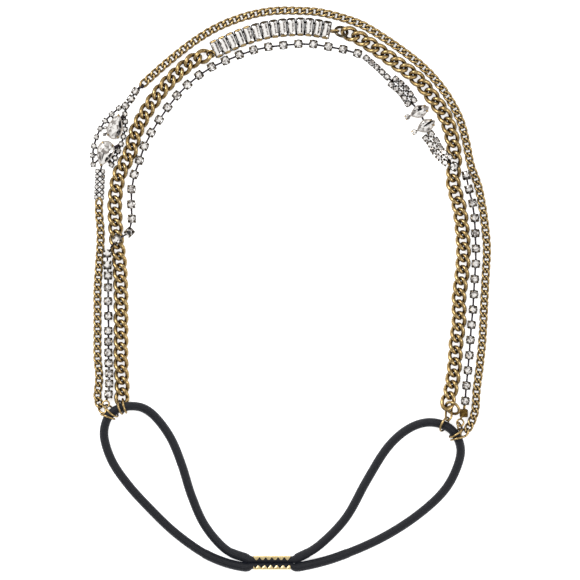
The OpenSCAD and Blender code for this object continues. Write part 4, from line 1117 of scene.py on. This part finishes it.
def crimp_section(t):
    """A point of the half section, from the middle of the floor round the wall to the top's root."""
    half, top, r = (CRIMP_WIDTH - CRIMP_SHEET) / 2, CRIMP_HEIGHT - CRIMP_SHEET, CRIMP_CORNER
    runs = [half - r, math.pi / 2 * r, top - 2 * r, math.pi / 2 * r]
    s = t * sum(runs)
    if s < runs[0]:
        return s, 0.0
    s -= runs[0]
    if s < runs[1]:
        a = s / r
        return half - r + r * math.sin(a), r - r * math.cos(a)
    s -= runs[1]
    if s < runs[2]:
        return half, r + s
    a = min((s - runs[2]) / r, math.pi / 2)
    return half - r + r * math.cos(a), top - r + r * math.sin(a)


def tooth_reach(share):
    """How near to the middle a flap comes at a share of its length: teeth with rounded tips."""
    phase = abs((share * TEETH) % 1 - 0.5) * 2
    return TOOTH_BASE + (TOOTH_TIP - TOOTH_BASE) * min(1, 1.12 * (1 - phase) ** 1.1)


def crimp_piece(columns=72, rows=36, flap=8):
    """A sheet folded up both sides, its toothed edges bent in over the elastic."""
    bm = bmesh.new()
    bmesh.ops.create_grid(bm, x_segments=columns, y_segments=2 * rows, size=1)
    for vert in bm.verts:
        share, across = (vert.co.x + 1) / 2, vert.co.y
        row = abs(across) * rows
        side = math.copysign(1, across)
        if row <= rows - flap:
            y, z = crimp_section(row / (rows - flap))
        else:
            root, top = crimp_section(1)
            phase = share if side > 0 else (share + TOOTH_OFFSET / TEETH) % 1.0
            end = tooth_reach(phase)
            part = (row - rows + flap) / flap
            y = root + (end - root) * part
            deep = (TOOTH_BASE - end) / (TOOTH_BASE - TOOTH_TIP)
            z = top - TOOTH_DIP * deep * part ** 2
        vert.co = (CRIMP_SPOT[0] + CRIMP_LENGTH * (share - 0.5), CRIMP_SPOT[1] + side * y,
                   z + CRIMP_SHEET / 2)
    bmesh.ops.recalc_face_normals(bm, faces=bm.faces)
    bmesh.ops.solidify(bm, geom=bm.faces[:], thickness=CRIMP_SHEET)
    mesh = form(bm)
    low = min(v.co.z for v in mesh.vertices)
    gathered("crimp_sheet", [(mesh, Matrix.Translation((0, 0, -low)), gold)], ["crimp"], crease=50)


crimp_piece()


# Floor and light

def floor_finish():
    """A sheet lit from below as well, so that shadows on it stay faint."""
    f = Finish("pale_floor", "", Roughness=0.7, Specular_IOR_Level=0.2, Emission_Strength=0.7)
    sheet = f.mix(f.noise(40, 2), rgb(250, 250, 250), rgb(253, 253, 253))
    return f.feed(Base_Color=sheet, Emission_Color=sheet)


FLOOR_SIZE, FLOOR_GAP = 3, 0.00002

floor_mesh = bpy.data.meshes.new("floor")
bm = bmesh.new()
bmesh.ops.create_grid(bm, x_segments=1, y_segments=1, size=FLOOR_SIZE)
bmesh.ops.translate(bm, vec=(0, 0, cad_box[0].z - FLOOR_GAP), verts=bm.verts)
bm.to_mesh(floor_mesh)
bm.free()
floor_mesh.materials.append(floor_finish().material)
floor = bpy.data.objects.new("floor", floor_mesh)
bpy.context.scene.collection.objects.link(floor)


def softbox(name, place, size, power):
    """A square lamp turned to the middle of the table."""
    light = bpy.data.lights.new(name, "AREA")
    light.shape, light.size, light.energy = "SQUARE", size, power
    lamp = bpy.data.objects.new(name, light)
    lamp.location = place
    lamp.rotation_mode = "QUATERNION"
    lamp.rotation_quaternion = (-Vector(place)).to_track_quat("-Z", "Y")
    bpy.context.scene.collection.objects.link(lamp)


softbox("key_softbox", (-0.45, 0.45, 0.75), 0.45, 6.0)
softbox("fill_softbox", (0.6, -0.2, 0.7), 0.5, 3.0)

world = bpy.data.worlds.new("studio")
world.use_nodes = True
world.node_tree.nodes["Background"].inputs["Color"].default_value = (1, 1, 1, 1)
world.node_tree.nodes["Background"].inputs["Strength"].default_value = 0.55
bpy.context.scene.world = world
bpy.context.scene.view_settings.view_transform = "Standard"

for mesh in [m for m in bpy.data.meshes if m.name.startswith("form") and m.users == 0]:
    bpy.data.meshes.remove(mesh)
